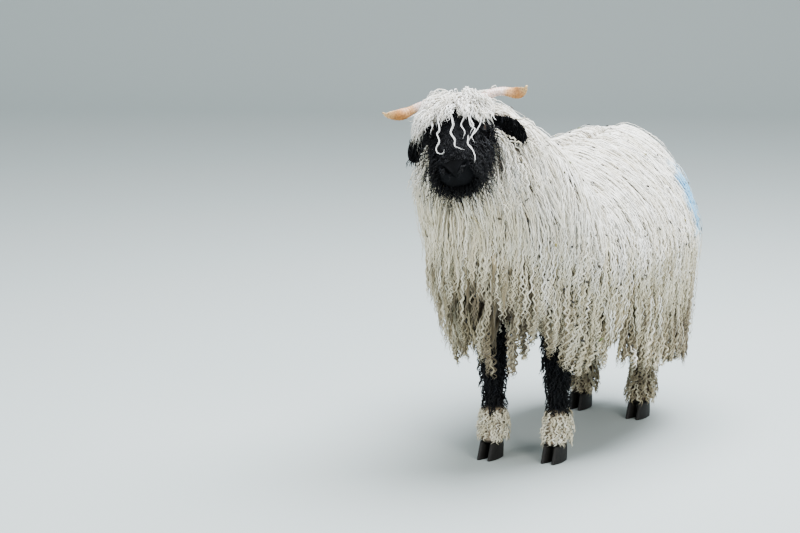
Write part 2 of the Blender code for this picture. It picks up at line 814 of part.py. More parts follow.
def tail_room():
    """The room that the tail and its wool need behind the rump."""
    points, radii = tail_path()
    points[0] = points[0] - (points[1] - points[0]).normalized() * GAP
    wool = [GAP, GAP] + [TAIL_WOOL + 0.022] * (TAIL_STEPS - 2)
    points.append(points[-1] - Vector((0, 0, TAIL_CLEARANCE)))
    return tube("tail_room", points, [r + w for r, w in zip(radii, wool)] + [TAIL_CLEARANCE], TAIL_SIDES)


def tail_locks(draw):
    made = []
    for number, f in enumerate((0.28, 0.55)):
        for k in range(5):
            turn = math.tau * (k + 0.5 * (number % 2)) / 5
            out = Vector((math.cos(turn), math.sin(turn), 0))
            points = []
            for i in range(4):
                t = i / 3
                y, z, radius = through(TAIL_STATIONS, min(f + 0.44 * t, 1.0))
                off = radius - 0.006 + (TAIL_WOOL + 0.002) * smooth(t / 0.6)
                points.append(Vector((0, y, z)) + out * off)
            made.append(lock(points, [out] * 4, 0.036, 0.014))
    return made


# Cells: each node of the flesh is the whole body cut back to its own side of a few planes

FAR = 2.0


def slab(name, point, facing):
    """A large block that fills the side of a plane that facing points to, and stops GAP / 2 short of it."""
    facing = facing.normalized()
    side = facing.orthogonal().normalized()
    up = facing.cross(side)
    near = point + facing * GAP / 2
    rings = []
    for depth in (0, FAR):
        corners = ((-FAR, -FAR), (FAR, -FAR), (FAR, FAR), (-FAR, FAR))
        rings.append([near + facing * depth + side * a + up * b for a, b in corners])
    return loft(name, rings)


def cut_out(name, whole, planes, look):
    """The part of the whole behind every plane (point, facing), as one closed node."""
    made = copy_of(whole, name)
    for point, facing in planes:
        # the slab starts GAP / 2 behind the plane, so two neighbours end up GAP apart
        start = point - facing.normalized() * GAP
        join_with(made, [slab(name + "_cut", start, facing)], "DIFFERENCE")
    return finish(keep_largest(made), look)


# Planes that part the body: a point and the way that the part in front of it lies
HEAD_PLANE = (Vector((-0.056, -0.530, 0.938)), Vector((0.20, -0.77, 0.30)))
NECK_PLANE = (Vector((0.0, -0.380, 0.710)), Vector((0.0, -0.62, 0.78)))
SHOULDER_PLANE = (Vector((0.0, -0.150, 0.5)), Vector((0.0, -1.0, 0.0)))
RUMP_PLANE = (Vector((0.0, 0.170, 0.5)), Vector((0.0, 1.0, 0.0)))


def behind(plane):
    """The same plane, facing back."""
    return plane[0], -plane[1]


def main():
    for old in list(bpy.data.objects):
        bpy.data.objects.remove(old, do_unlink=True)
    draw = random.Random(7)
    white = material("white_fleece", WOOL_WHITE, 0.9)
    black = material("black_wool", WOOL_BLACK, 0.85)
    horn_look = material("horn", HORN_TAN, 0.45)
    hoof_look = material("hoof", HOOF_BLACK, 0.5)
    eye_look = material("eye", EYE_BROWN, 0.1)

    lids = [eyelid(side, upper) for side in (-1, 1) for upper in (True, False)]
    head = join_with(head_core(), lids + lips() + head_locks(draw), "UNION")
    head.data.transform(HEAD_FRAME)
    whole = trunk_core()
    join_with(whole, [neck_core(), head] + trunk_locks(draw) + neck_locks(draw), "UNION")

    room = []
    for side in (-1, 1):
        room.append(ball("eye_room", eye_centre(side), EYEBALL_RADIUS + GAP))
        room.append(horn("horn_room", side, GAP))
        room.append(ear("ear_room", side, EAR_CLEARANCE))
        room.append(nostril(side))
    room.append(mouth_line())
    for cutter in room:
        cutter.data.transform(HEAD_FRAME)
    room.append(tail_room())
    for name, stations, x, y in LEGS:
        room.append(leg(name + "_room", stations, Vector((x, y, 0)), GAP, GAP))
    join_with(whole, room, "DIFFERENCE")

    cut_out("head", whole, [behind(HEAD_PLANE)], black)
    cut_out("neck", whole, [HEAD_PLANE, behind(NECK_PLANE)], white)
    cut_out("torso_shoulders", whole, [NECK_PLANE, behind(SHOULDER_PLANE)], white)
    cut_out("torso_barrel", whole, [SHOULDER_PLANE, RUMP_PLANE], white)
    cut_out("torso_rump", whole, [behind(RUMP_PLANE)], white)
    bpy.data.objects.remove(whole)

    for side, word in ((1, "left"), (-1, "right")):
        eye = finish(ball("eye_" + word, eye_centre(side), EYEBALL_RADIUS), eye_look)
        eye.data.transform(HEAD_FRAME)
        piece = finish(horn("horn_" + word, side), horn_look)
        piece.data.transform(HEAD_FRAME)
        piece = finish(ear("ear_" + word, side), black)
        piece.data.transform(HEAD_FRAME)
    for name, stations, x, y in LEGS:
        foot = Vector((x, y, 0))
        whole_leg = join_with(leg(name, stations, foot), leg_clumps(draw, stations, foot), "UNION")
        finish(keep_largest(whole_leg), black)
        step = stations[-1][2]
        for side, word in ((1, "left"), (-1, "right")):
            finish(claw(name.replace("leg", "hoof") + "_" + word, foot, step, side), hoof_look)
    finish(keep_largest(join_with(tail_core(), tail_locks(draw), "UNION")), white)

    for made in bpy.data.objects:
        made.data.transform(Matrix.Translation(BODY_SHIFT))


main()
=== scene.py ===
# %% [markdown]
# # A Valais Blacknose ewe, life size
# The real animal carries up to 12 cm of wavy white wool over a compact body. Her face, ears, knees,
# hocks and feet are black, and two slim horns wind out from the crown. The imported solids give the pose
# and the outline. This script dresses them: one skin, fine horns, hooves and eyes, and a coat that is
# real mesh, lock by lock. Metres, +Z up. She faces -Y, so her left side is +X.

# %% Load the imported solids
import math

import bmesh
import bpy
import numpy as np
from mathutils import Matrix, Vector
from mathutils.bvhtree import BVHTree


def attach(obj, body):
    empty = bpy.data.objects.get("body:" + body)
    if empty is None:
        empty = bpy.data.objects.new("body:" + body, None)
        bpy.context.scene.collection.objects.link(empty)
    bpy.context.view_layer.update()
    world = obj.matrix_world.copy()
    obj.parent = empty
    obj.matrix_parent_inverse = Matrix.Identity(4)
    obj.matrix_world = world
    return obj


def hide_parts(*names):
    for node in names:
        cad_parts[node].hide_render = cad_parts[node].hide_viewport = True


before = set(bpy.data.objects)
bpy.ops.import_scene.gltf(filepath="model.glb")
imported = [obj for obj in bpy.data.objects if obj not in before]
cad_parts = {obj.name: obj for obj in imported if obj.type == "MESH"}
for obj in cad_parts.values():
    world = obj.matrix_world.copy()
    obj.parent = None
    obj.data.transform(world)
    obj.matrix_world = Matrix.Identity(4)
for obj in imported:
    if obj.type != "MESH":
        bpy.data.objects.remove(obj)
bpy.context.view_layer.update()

# %% [markdown]
# ## New objects
# Blender keeps what an object looks like, its mesh or lamp, apart from the object that has a place. Every
# piece below is made as such a pair, so one small function does it.


# %% New objects
def add_object(name, data):
    """A new object that shows the data, linked to the scene."""
    made = bpy.data.objects.new(name, data)
    bpy.context.scene.collection.objects.link(made)
    return made

# %% [markdown]
# ## Camera
# The photo was taken from about 7 m, a little above the ewe's back and 24 degrees round to her left. She
# stands right of the middle, so the camera aims beside her and needs no lens shift.

# %% Camera
CAMERA_TURN = math.radians(24)
CAMERA_RISE = math.radians(11)
CAMERA_DISTANCE = 7.0
PHOTO_WIDTH, PHOTO_HEIGHT = 800, 533
PIXELS_PER_METRE = 365
EWE_PIXEL = (568, 273)
SENSOR_MM = 36

ewe_middle = Vector((0.0, 0.117, 0.45))
back = Vector((
    math.sin(CAMERA_TURN) * math.cos(CAMERA_RISE),
    -math.cos(CAMERA_TURN) * math.cos(CAMERA_RISE),
    math.sin(CAMERA_RISE),
))
right = Vector((math.cos(CAMERA_TURN), math.sin(CAMERA_TURN), 0.0))
up = back.cross(right)
beside = (PHOTO_WIDTH / 2 - EWE_PIXEL[0]) / PIXELS_PER_METRE
above = (EWE_PIXEL[1] - PHOTO_HEIGHT / 2) / PIXELS_PER_METRE
camera = add_object("camera", bpy.data.cameras.new("camera"))
camera.location = ewe_middle + back * CAMERA_DISTANCE
aim = ewe_middle + right * beside + up * above - camera.location
camera.rotation_euler = aim.to_track_quat("-Z", "Y").to_euler()
camera.data.sensor_width = SENSOR_MM
camera.data.lens = SENSOR_MM * CAMERA_DISTANCE * PIXELS_PER_METRE / PHOTO_WIDTH
bpy.context.scene.camera = camera
print("lens %.0f mm, aimed %.2f m to the left of the ewe" % (camera.data.lens, -beside))

# %% [markdown]
# ## Colours and nodes
# Hex colours are what a painter would write down, but the shader adds light, so each one is turned into
# linear values first. Every shader node is then added by the same small function, which keeps the materials
# below as short as a list of what is linked to what.


# %% Colours and nodes
def linear(hex_colour, alpha=1.0):
    """An sRGB colour, as written in hex, turned into the linear values that the shader works in."""
    parts = [int(hex_colour[i : i + 2], 16) / 255 for i in (1, 3, 5)]
    return tuple(c / 12.92 if c <= 0.04045 else ((c + 0.055) / 1.055) ** 2.4 for c in parts) + (alpha,)


def add_node(tree, kind, inputs=None, stops=(), **settings):
    """Adds one node. inputs are values or the sockets to link from, and settings are its properties.

    stops are the (place, hex colour) pairs of a colour ramp.
    """
    node = tree.nodes.new("ShaderNode" + kind)
    for name, value in settings.items():
        setattr(node, name, value)
    for name, value in (inputs or {}).items():
        if isinstance(value, bpy.types.NodeSocket):
            tree.links.new(value, node.inputs[name])
        else:
            node.inputs[name].default_value = value
    for number, (place, colour) in enumerate(stops):
        if number >= len(node.color_ramp.elements):
            node.color_ramp.elements.new(place)
        node.color_ramp.elements[number].position = place
        node.color_ramp.elements[number].color = linear(colour)
    return node


def new_material(name, **values):
    """A material with one Principled shader. The values, such as Roughness, are set on its own sockets."""
    material = bpy.data.materials.new(name)
    material.use_nodes = True
    shader = material.node_tree.nodes["Principled BSDF"]
    for key, value in values.items():
        shader.inputs[key.replace("_", " ")].default_value = value
    return material, material.node_tree, shader


# the colour mixing node has its factor at input 0 and its two colours at inputs 6 and 7
MIX = {"data_type": "RGBA"}
MULTIPLY = {"data_type": "RGBA", "blend_type": "MULTIPLY"}

# %% [markdown]
# ## Floor and light
# The floor is one pale sheet that curves up behind the ewe, as a painted board does in a photo studio. The
# light comes mostly from above, and its lamps are large disks, because only a large source gives wool its
# soft, open shadows.


# %% Floor and light
def stage_floor():
    """A pale sheet: flat under the ewe, then curved up to a wall behind her."""
    width, front, turn, radius, height = 30.0, -14.0, 7.0, 2.5, 9.0
    profile = [(front, 0.0), (turn, 0.0)]
    for step in range(1, 13):
        angle = math.pi / 2 * step / 12
        profile.append((turn + radius * math.sin(angle), radius - radius * math.cos(angle)))
    profile.append((turn + radius, height))
    points = [(side * width / 2, y, z) for y, z in profile for side in (-1, 1)]
    faces = [(2 * k, 2 * k + 1, 2 * k + 3, 2 * k + 2) for k in range(len(profile) - 1)]
    mesh = bpy.data.meshes.new("studio_floor")
    mesh.from_pydata(points, [], faces)
    mesh.shade_smooth()
    floor = add_object("studio_floor", mesh)
    floor.rotation_euler.z = CAMERA_TURN
    paint, _, _ = new_material("painted_floor", Base_Color=linear("#A9B1AF"), Roughness=0.9)
    floor.data.materials.append(paint)


def soft_light(name, place, size, watts, colour):
    lamp = bpy.data.lights.new(name, "AREA")
    lamp.shape = "DISK"
    lamp.size = size
    lamp.energy = watts
    lamp.color = linear(colour)[:3]
    light = add_object(name, lamp)
    light.location = place
    light.rotation_euler = (ewe_middle - light.location).to_track_quat("-Z", "Y").to_euler()


stage_floor()
soft_light("ceiling_panel", Vector((0.6, 0.6, 4.2)), 4.0, 900, "#F4F8FF")
soft_light("left_panel", Vector((3.8, -2.6, 2.6)), 2.4, 150, "#FFFDF8")
soft_light("front_panel", Vector((-2.0, -4.2, 2.2)), 3.0, 160, "#FFFFFF")
world = bpy.data.worlds.new("pale_room")
world.use_nodes = True
world.node_tree.nodes["Background"].inputs["Color"].default_value = linear("#C9D2D6")
world.node_tree.nodes["Background"].inputs["Strength"].default_value = 1.5
bpy.context.scene.world = world

# %% [markdown]
# ## The body's shape
# The skin follows the same curves as the solids, so the named sizes here are the solids' own: rings across
# the trunk, leaning rings up the neck, and a head built from width and height at ten places. Each function
# works on whole arrays at once, because the coat asks for thousands of points.

# %% Sizes of the body
BODY_SHIFT = Vector((0.0, 0.117, 0.0))
WITHERS_HEIGHT = 0.75
TRUNK_LENGTH = 0.83
TRUNK_WIDTH = 0.40
BRISKET_HEIGHT = 0.385
WIDEST_HEIGHT = 0.53
HEAD_LENGTH = 0.265
EYEBALL_RADIUS = 0.0145
CORONET_HEIGHT = 0.045

FLEECE_SIDE = 0.105
FLEECE_TOP = 0.065
FLEECE_ENDS = 0.08
HEM_FRONT = 0.265
HEM_REAR = 0.165

PLAN_POWER = 2.5
ROOF_POWER = 1.75
BELLY_POWER = 2.3
TOPLINE_POWER = 5.0
HEAD_POWER = 2.5
SHOULDER_NARROWING = 0.14
FRONT_TAPER = 0.17
REAR_TAPER = 0.06
RUMP_RISE = 0.055
# the share of the trunk's length that is used, because its rings shrink to a point at the very ends
POLE = 0.97
SIDES = ((1, "left"), (-1, "right"))
print("trunk %.2f m long and %.2f m wide, withers %.2f m" % (TRUNK_LENGTH, TRUNK_WIDTH, WITHERS_HEIGHT))

# %% [markdown]
# ## Smooth curves
# A body has no corners, so every size changes along it on a smooth curve. The tables below hold only a few
# measured rows, and these helpers fill in what lies between.


# %% Smooth curves
def smooth(x):
    """0 to 1 with a soft start and end."""
    x = np.clip(x, 0.0, 1.0)
    return x * x * (3 - 2 * x)


def unit(vectors):
    """The same directions, each with a length of 1."""
    return vectors / np.maximum(np.linalg.norm(vectors, axis=-1, keepdims=True), 1e-9)


def power(x, p):
    """A sine or cosine bent towards a square by the power p, keeping its sign."""
    return np.sign(x) * np.abs(x) ** (2 / p)


def circle(count):
    """Angles all the way round, evenly spaced."""
    return np.linspace(0, 2 * np.pi, count, endpoint=False)


def through(rows, f):
    """The values of rows at each f, on smooth curves through them. Each row starts with its own f."""
    rows = np.array(rows, float)
    f = np.atleast_1d(np.asarray(f, float))
    places, values = rows[:, 0], rows[:, 1:]
    slopes = np.empty_like(values)
    slopes[1:-1] = (values[2:] - values[:-2]) / (places[2:] - places[:-2])[:, None]
    slopes[0] = (values[1] - values[0]) / (places[1] - places[0])
    slopes[-1] = (values[-1] - values[-2]) / (places[-1] - places[-2])
    i = np.clip(np.searchsorted(places, f, side="right") - 1, 0, len(places) - 2)
    span = (places[i + 1] - places[i])[:, None]
    t = (f[:, None] - places[i][:, None]) / span
    return (
        (2 * t**3 - 3 * t**2 + 1) * values[i]
        + (t**3 - 2 * t**2 + t) * slopes[i] * span
        + (3 * t**2 - 2 * t**3) * values[i + 1]
        + (t**3 - t**2) * slopes[i + 1] * span
    )


def table_at(rows, f, turn):
    """Each pair of a share f and a turn, with the table's values there."""
    f, turn = np.broadcast_arrays(np.asarray(f, float), turn)
    return f, turn, through(rows, f.ravel()).reshape(f.shape + (len(rows[0]) - 1,))

# %% [markdown]
# ## Trunk and fleece
# One formula gives both the skin and the outer surface of the fleece: the fleece is the same trunk, grown
# outwards and cut off at the hem. So the two never cross.


# %% Trunk and fleece
def trunk_size(u, grow):
    """Length position, half width and top height at u. grow is 0 on the skin and 1 at the coat's tips."""
    narrow = 1 - SHOULDER_NARROWING * smooth(-u * 1.2)
    width = (TRUNK_WIDTH / 2 * narrow + FLEECE_SIDE * grow) * power(np.cos(u * np.pi / 2), PLAN_POWER)
    top = WITHERS_HEIGHT + FLEECE_TOP * grow + RUMP_RISE * smooth(u + 0.3)
    y = (TRUNK_LENGTH / 2 + FLEECE_ENDS * grow) * power(np.sin(u * np.pi / 2), PLAN_POWER)
    height = WIDEST_HEIGHT + (top - WIDEST_HEIGHT) * power(np.cos(u * np.pi / 2), TOPLINE_POWER)
    return y, width, height


def trunk_ring(u, v, grow, side):
    """Points of the closed trunk. v goes round it: 0 at the spine, 0.5 at the widest, 1 at the belly."""
    y, width, top = trunk_size(u, grow)
    drop = (WIDEST_HEIGHT - BRISKET_HEIGHT) * power(np.cos(u * np.pi / 2), TOPLINE_POWER)
    reach = np.where(v < 0.5, top - WIDEST_HEIGHT, drop)
    bend = np.where(v < 0.5, ROOF_POWER, BELLY_POWER)
    x = side * width * power(np.sin(v * np.pi), bend)
    z = WIDEST_HEIGHT + reach * power(np.cos(v * np.pi), bend)
    return np.stack([x, y + BODY_SHIFT.y + 0 * x, z], axis=-1)


def hem_height(y):
    """Height of the fleece's lower edge at y, lower at the rump than at the chest."""
    along = smooth((y - BODY_SHIFT.y) / (TRUNK_LENGTH + 2 * FLEECE_ENDS) + 0.5)
    return HEM_FRONT + (HEM_REAR - HEM_FRONT) * along


def fleece_point(u, v, grow, side):
    """Points in the fleece: as trunk_ring down to the widest level, then down to the hem (v = 1)."""
    y, width, _ = trunk_size(u, grow)
    down = np.clip(2 * v - 1, 0, 1)
    along = smooth((u + 1) / 2)
    hem = HEM_FRONT + (HEM_REAR - HEM_FRONT) * along
    in_by = 1 - (FRONT_TAPER + (REAR_TAPER - FRONT_TAPER) * along) * down
    lower = np.stack(
        [side * width * in_by, y * in_by + BODY_SHIFT.y, WIDEST_HEIGHT - (WIDEST_HEIGHT - hem) * down],
        axis=-1,
    )
    return np.where((v <= 0.5)[..., None], trunk_ring(u, np.minimum(v, 0.5), grow, side), lower)

# %% [markdown]
# ## Neck and head
# The neck is four leaning rings with a smooth curve through them. The head has a frame of its own, with -Y
# along the nose, so that its sizes can be read straight off a skull, and one matrix turns it to her left.

# %% Neck and head
# share of the way up, centre x, y, z, half width, reach to the throat, reach to the nape
NECK_STATIONS = [
    (0.0, 0.0, -0.270, 0.570, 0.160, 0.140, 0.160),
    (0.35, -0.012, -0.370, 0.690, 0.140, 0.135, 0.125),
    (0.7, -0.034, -0.465, 0.840, 0.112, 0.110, 0.085),
    (1.0, -0.054, -0.515, 0.938, 0.074, 0.080, 0.058),
]
NECK_LEAN = Vector((0.0, -0.60, 0.80)).normalized()
NECK_FLEECE = 0.085
POLL_FLEECE = 0.035
BIB_FLEECE = 0.105

# share of the length, half width, top, bottom; the last two rows close the round of the nose
HEAD_STATIONS = [
    (0.00, 0.038, 0.030, -0.045),
    (0.08, 0.054, 0.048, -0.068),
    (0.22, 0.065, 0.061, -0.082),
    (0.40, 0.069, 0.060, -0.082),
    (0.55, 0.061, 0.052, -0.078),
    (0.70, 0.053, 0.041, -0.073),
    (0.84, 0.051, 0.030, -0.069),
    (0.94, 0.046, 0.015, -0.062),
    (0.985, 0.036, 0.001, -0.052),
    (1.00, 0.029, -0.007, -0.045),
]
HEAD_JOINT = Vector((-0.056, -0.530, 0.965))
HEAD_FRAME = (
    Matrix.Translation(HEAD_JOINT + BODY_SHIFT)
    @ Matrix.Rotation(math.radians(20.5), 4, "Z")
    @ Matrix.Rotation(math.radians(27), 4, "X")
    @ Matrix.Rotation(math.radians(-13.5), 4, "Y")
)
HEAD_TO_WORLD = np.array(HEAD_FRAME)
WORLD_TO_HEAD = np.array(HEAD_FRAME.inverted())


def moved(points, matrix):
    """Points carried by a 4 x 4 matrix."""
    return points @ matrix[:3, :3].T + matrix[:3, 3]


def neck_point(f, turn, grow):
    """Points of the neck. turn is 0 at the throat, pi at the nape; grow is 0 on the skin, 1 at the tips."""
    f, turn, rows = table_at(NECK_STATIONS, f, turn)
    forward = np.cos(turn)
    fleece = NECK_FLEECE + (POLL_FLEECE - NECK_FLEECE) * smooth(f * 1.6 - 0.6)
    reach = np.where(forward > 0, rows[..., 4] + BIB_FLEECE * grow, rows[..., 5] + fleece * grow) * forward
    x = rows[..., 0] + (rows[..., 3] + fleece * grow) * np.sin(turn)
    y = rows[..., 1] - NECK_LEAN.z * reach + BODY_SHIFT.y
    return np.stack([x, y, rows[..., 2] + NECK_LEAN.y * reach], axis=-1)


def head_point(f, turn, off=0.0):
    """Points of the head in its own frame. turn is 0 on its left, a quarter at the crown."""
    f, turn, rows = table_at(HEAD_STATIONS, f, turn)
    middle = (rows[..., 1] + rows[..., 2]) / 2
    x = (rows[..., 0] + off) * power(np.cos(turn), HEAD_POWER)
    z = middle + ((rows[..., 1] - rows[..., 2]) / 2 + off) * power(np.sin(turn), HEAD_POWER)
    return np.stack([x, -HEAD_LENGTH * f, z], axis=-1)


print("head %.3f m long, turned by" % HEAD_LENGTH, HEAD_FRAME.to_euler())

# %% [markdown]
# ## Meshes from rings
# Nearly every part of an animal is a tube that changes as it goes: a leg, a horn, an ear. So one helper
# turns rings of points into a closed mesh, and another fuses such meshes into one skin without seams.


# %% Ring helpers
def loft(name, rings, tips=(None, None)):
    """A closed body through rings of points. Each end is drawn to its tip, or to the middle of its ring."""
    rings = np.asarray(rings, float)
    count, sides = rings.shape[:2]
    ends = [rings[e].mean(axis=0) if tips[k] is None else np.array(tips[k]) for k, e in enumerate((0, -1))]
    points = np.vstack([rings.reshape(-1, 3), ends])
    a = (np.arange(count - 1)[:, None] * sides + np.arange(sides)).ravel()
    b = (np.arange(count - 1)[:, None] * sides + (np.arange(sides) + 1) % sides).ravel()
    faces = np.stack([a, b, b + sides, a + sides], axis=1).tolist()
    last = (count - 1) * sides
    for k in range(sides):
        n = (k + 1) % sides
        faces.append([n, k, count * sides])
        faces.append([last + k, last + n, count * sides + 1])
    mesh = bpy.data.meshes.new(name)
    mesh.from_pydata(points.tolist(), [], faces)
    shape = bmesh.new()
    shape.from_mesh(mesh)
    bmesh.ops.recalc_face_normals(shape, faces=shape.faces)
    shape.to_mesh(mesh)
    shape.free()
    mesh.shade_smooth()
    return add_object(name, mesh)


def fuse(target, others):
    """One closed mesh of the target and the others, which are removed."""
    group = bpy.data.collections.new(target.name + "_parts")
    bpy.context.scene.collection.children.link(group)
    for other in others:
        bpy.context.scene.collection.objects.unlink(other)
        group.objects.link(other)
    step = target.modifiers.new("join", "BOOLEAN")
    step.operation = "UNION"
    step.operand_type = "COLLECTION"
    step.collection = group
    step.solver = "MANIFOLD"
    graph = bpy.context.evaluated_depsgraph_get()
    mesh = bpy.data.meshes.new_from_object(target.evaluated_get(graph))
    target.modifiers.clear()
    target.data = mesh
    for other in others:
        bpy.data.objects.remove(other)
    bpy.data.collections.remove(group)
    return target


def triangles(piece):
    return sum(len(p.vertices) - 2 for p in piece.data.polygons)


def dress(piece, material, replaced=()):
    """Gives a finished piece its material and tells the frame what it is."""
    piece.data.materials.clear()
    piece.data.materials.append(material)
    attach(piece, "root")
    if replaced:
        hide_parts(*replaced)
    print("%s: %d triangles" % (piece.name, triangles(piece)))

# %% [markdown]
# ## Features of the head
# The head gets the most care. Its features are listed first, each as a line that it follows, how far it
# stands out or lies in, and how wide it is: brow, tear groove, cheek muscle, the comma of each nostril, the
# line of the mouth with its two lips, and the furrow below the nose.

# %% Features of the head
EYE_SHARE = 0.46
EYE_OUT = 0.0585
EYE_UP = 0.014
LID_THICKNESS = 0.0024
EYE_HALF_LENGTH = 0.0130
EYE_HALF_HEIGHT = 0.0078
MOUTH_UP = -0.026
MOUTH_SHARE = 0.72
HEAD_RINGS = 230
HEAD_SIDES = 300
# forms on each side of the head: how far out (-: in), radius, and the two ends of the line they follow
HEAD_FORMS = [
    (0.0035, 0.012, (0.050, -0.090, 0.046), (0.057, -0.130, 0.042)),  # brow
    (-0.0030, 0.007, (0.060, -0.135, 0.012), (0.054, -0.165, 0.002)),  # tear groove
    (0.0045, 0.030, (0.066, -0.060, -0.030), (0.064, -0.105, -0.040)),  # cheek muscle
    (0.0020, 0.008, (0.060, -0.120, -0.004), (0.052, -0.190, -0.018)),  # cheekbone
    (-0.0030, 0.014, (0.055, -0.170, 0.020), (0.045, -0.215, 0.012)),  # hollow beside the nose
]


def eye_centre(side):
    return np.array((side * EYE_OUT, -HEAD_LENGTH * EYE_SHARE, EYE_UP))


def near_line(points, path):
    """How far each point lies from a line through the path's points."""
    path = np.asarray(path, float)
    best = np.full(points.shape[:-1], np.inf)
    for a, b in zip(path[:-1], path[1:]):
        t = np.clip(((points - a) @ (b - a)) / ((b - a) @ (b - a)), 0, 1)
        best = np.minimum(best, np.linalg.norm(points - (a + t[..., None] * (b - a)), axis=-1))
    return best


def bump(distance, radius):
    """1 on a feature, falling softly to 0 at about twice the radius."""
    return np.exp(-((distance / radius) ** 2))


def mouth_path(up):
    """The line of the mouth round the muzzle, from corner to corner."""
    turns = np.linspace(0, np.pi, 41)
    f = MOUTH_SHARE + (0.995 - MOUTH_SHARE) * np.sin(turns) ** 0.6
    x = through(HEAD_STATIONS, f)[:, 0] * np.sign(np.cos(turns)) * np.abs(np.cos(turns)) ** 0.7
    z = MOUTH_UP + up + 0.008 * np.cos(turns) ** 2
    return np.stack([x, -HEAD_LENGTH * f, z], axis=-1)


def nostril_path(side):
    places = ((0.010, 1.006, -0.016), (0.0165, 1.002, -0.006), (0.026, 0.972, 0.003), (0.031, 0.935, 0.004))
    return [(side * x, -HEAD_LENGTH * f, z) for x, f, z in places]


# forms on the middle of the head: how far out (-: in), radius, and the line that they follow
LIP = 0.0062
MIDDLE_FORMS = [
    (0.0026, 0.0050, mouth_path(LIP)),  # upper lip
    (0.0022, 0.0050, mouth_path(-LIP)),  # lower lip
    (-0.0050, 0.0016, mouth_path(0.0)),  # mouth
    (-0.0026, 0.0016, [(0, -1.01 * HEAD_LENGTH, -0.008), (0, -1.01 * HEAD_LENGTH, -0.024)]),  # furrow
    (0.0016, 0.016, [(0, -0.10, 0.058), (0, -0.22, 0.032)]),  # bridge of the nose
]
NOSTRIL_DEPTH, NOSTRIL_RADIUS = 0.0110, 0.0034
NOSTRIL_RIM, RIM_AWAY, RIM_RADIUS = 0.0024, 0.0075, 0.0030
print("forms on the head: %d a side and %d on its middle" % (len(HEAD_FORMS), len(MIDDLE_FORMS)))

# %% [markdown]
# ## The head
# The head starts as a fine grid of rings, and the features are pushed in and out of it like clay. Each push
# is a soft function of how far a point lies from the feature. Last, the lids are drawn over the eyeball's
# sphere and opened in the shape of an almond.


# %% The head
def outward(grid):
    """The direction away from the surface at each point of a grid of rings."""
    along = np.gradient(grid, axis=0)
    around = np.roll(grid, -1, axis=1) - np.roll(grid, 1, axis=1)
    normal = unit(np.cross(around, along))
    middle = grid.mean(axis=1, keepdims=True)
    facing = np.sign(((grid - middle) * normal).sum(axis=-1).mean())
    return normal * facing


def head_grid():
    """The head's rings in its own frame, with every feature pushed in."""
    t = np.linspace(0, 1, HEAD_RINGS)
    f = (1 - (1 - t) ** 1.25)[:, None]
    turn = circle(HEAD_SIDES)[None, :]
    grid = head_point(f, turn)
    normal = outward(grid)
    push = np.zeros(grid.shape[:2])
    for side in (-1, 1):
        for lift, radius, a, b in HEAD_FORMS:
            push += lift * bump(near_line(grid, np.array((a, b)) * (side, 1, 1)), radius)
        slit = near_line(grid, nostril_path(side))
        push += NOSTRIL_RIM * bump(np.abs(slit - RIM_AWAY), RIM_RADIUS)
        push -= NOSTRIL_DEPTH * bump(slit, NOSTRIL_RADIUS)
    for lift, radius, line in MIDDLE_FORMS:
        push += lift * bump(near_line(grid, line), radius)
    grid = grid + normal * push[..., None]
    for side in (-1, 1):
        away = grid - eye_centre(side)
        flat = np.hypot(away[..., 1], away[..., 2])
        cover = EYEBALL_RADIUS + LID_THICKNESS
        dome = EYE_OUT + np.sqrt(np.maximum(cover**2 - flat**2, 0))
        x = side * grid[..., 0]
        lidded = np.where(flat < cover, np.maximum(x, dome), x)
        rim = smooth((flat / cover - 0.80) / 0.35)
        lidded = np.where(flat < cover * 1.15, lidded * (1 - rim) + np.maximum(x, EYE_OUT + 0.004) * rim, x)
        slant = away[..., 2] + 0.18 * away[..., 1]
        almond = (away[..., 1] / EYE_HALF_LENGTH) ** 2 + (slant / EYE_HALF_HEIGHT) ** 2
        open_eye = smooth((1.12 - almond) / 0.28)
        sunk = lidded - open_eye * np.maximum(lidded - (EYE_OUT + 0.001), 0)
        on_side = (x > 0.03) & (flat < cover * 1.3)
        grid[..., 0] = np.where(on_side, side * sunk, grid[..., 0])
    return grid


head_rings = head_grid()
print("head surface: %d points" % (head_rings.shape[0] * head_rings.shape[1]))

# %% [markdown]
# ## Ears
# The ears hang like leaves, rolled at the root and open in front. Each is one thin sheet with a front and a
# back, so its rings run out along the front and home along the back.

# %% Ear
EAR_LENGTH = 0.148
EAR_BEND = 0.31
EAR_DROOP = 0.044
EAR_HALF_WIDTH = 0.029
EAR_THICKNESS = 0.0036
EAR_ROOT = Vector((0.058, -0.050, 0.002))
EAR_WAY = Vector((0.95, 0.06, -0.58)).normalized()
EAR_OPENING = Vector((0.0, -1.0, 0.1))
EAR_WIDEST = 0.55
EAR_ROOT_ROLL = math.radians(110)
EAR_TIP_ROLL = math.radians(24)
EAR_STEPS = 44
EAR_ACROSS = 22
DOWN = HEAD_FRAME.to_3x3().inverted() @ Vector((0, 0, -1))
print("ear %.0f mm long, %.0f mm wide" % (EAR_LENGTH * 1000, EAR_HALF_WIDTH * 2000))


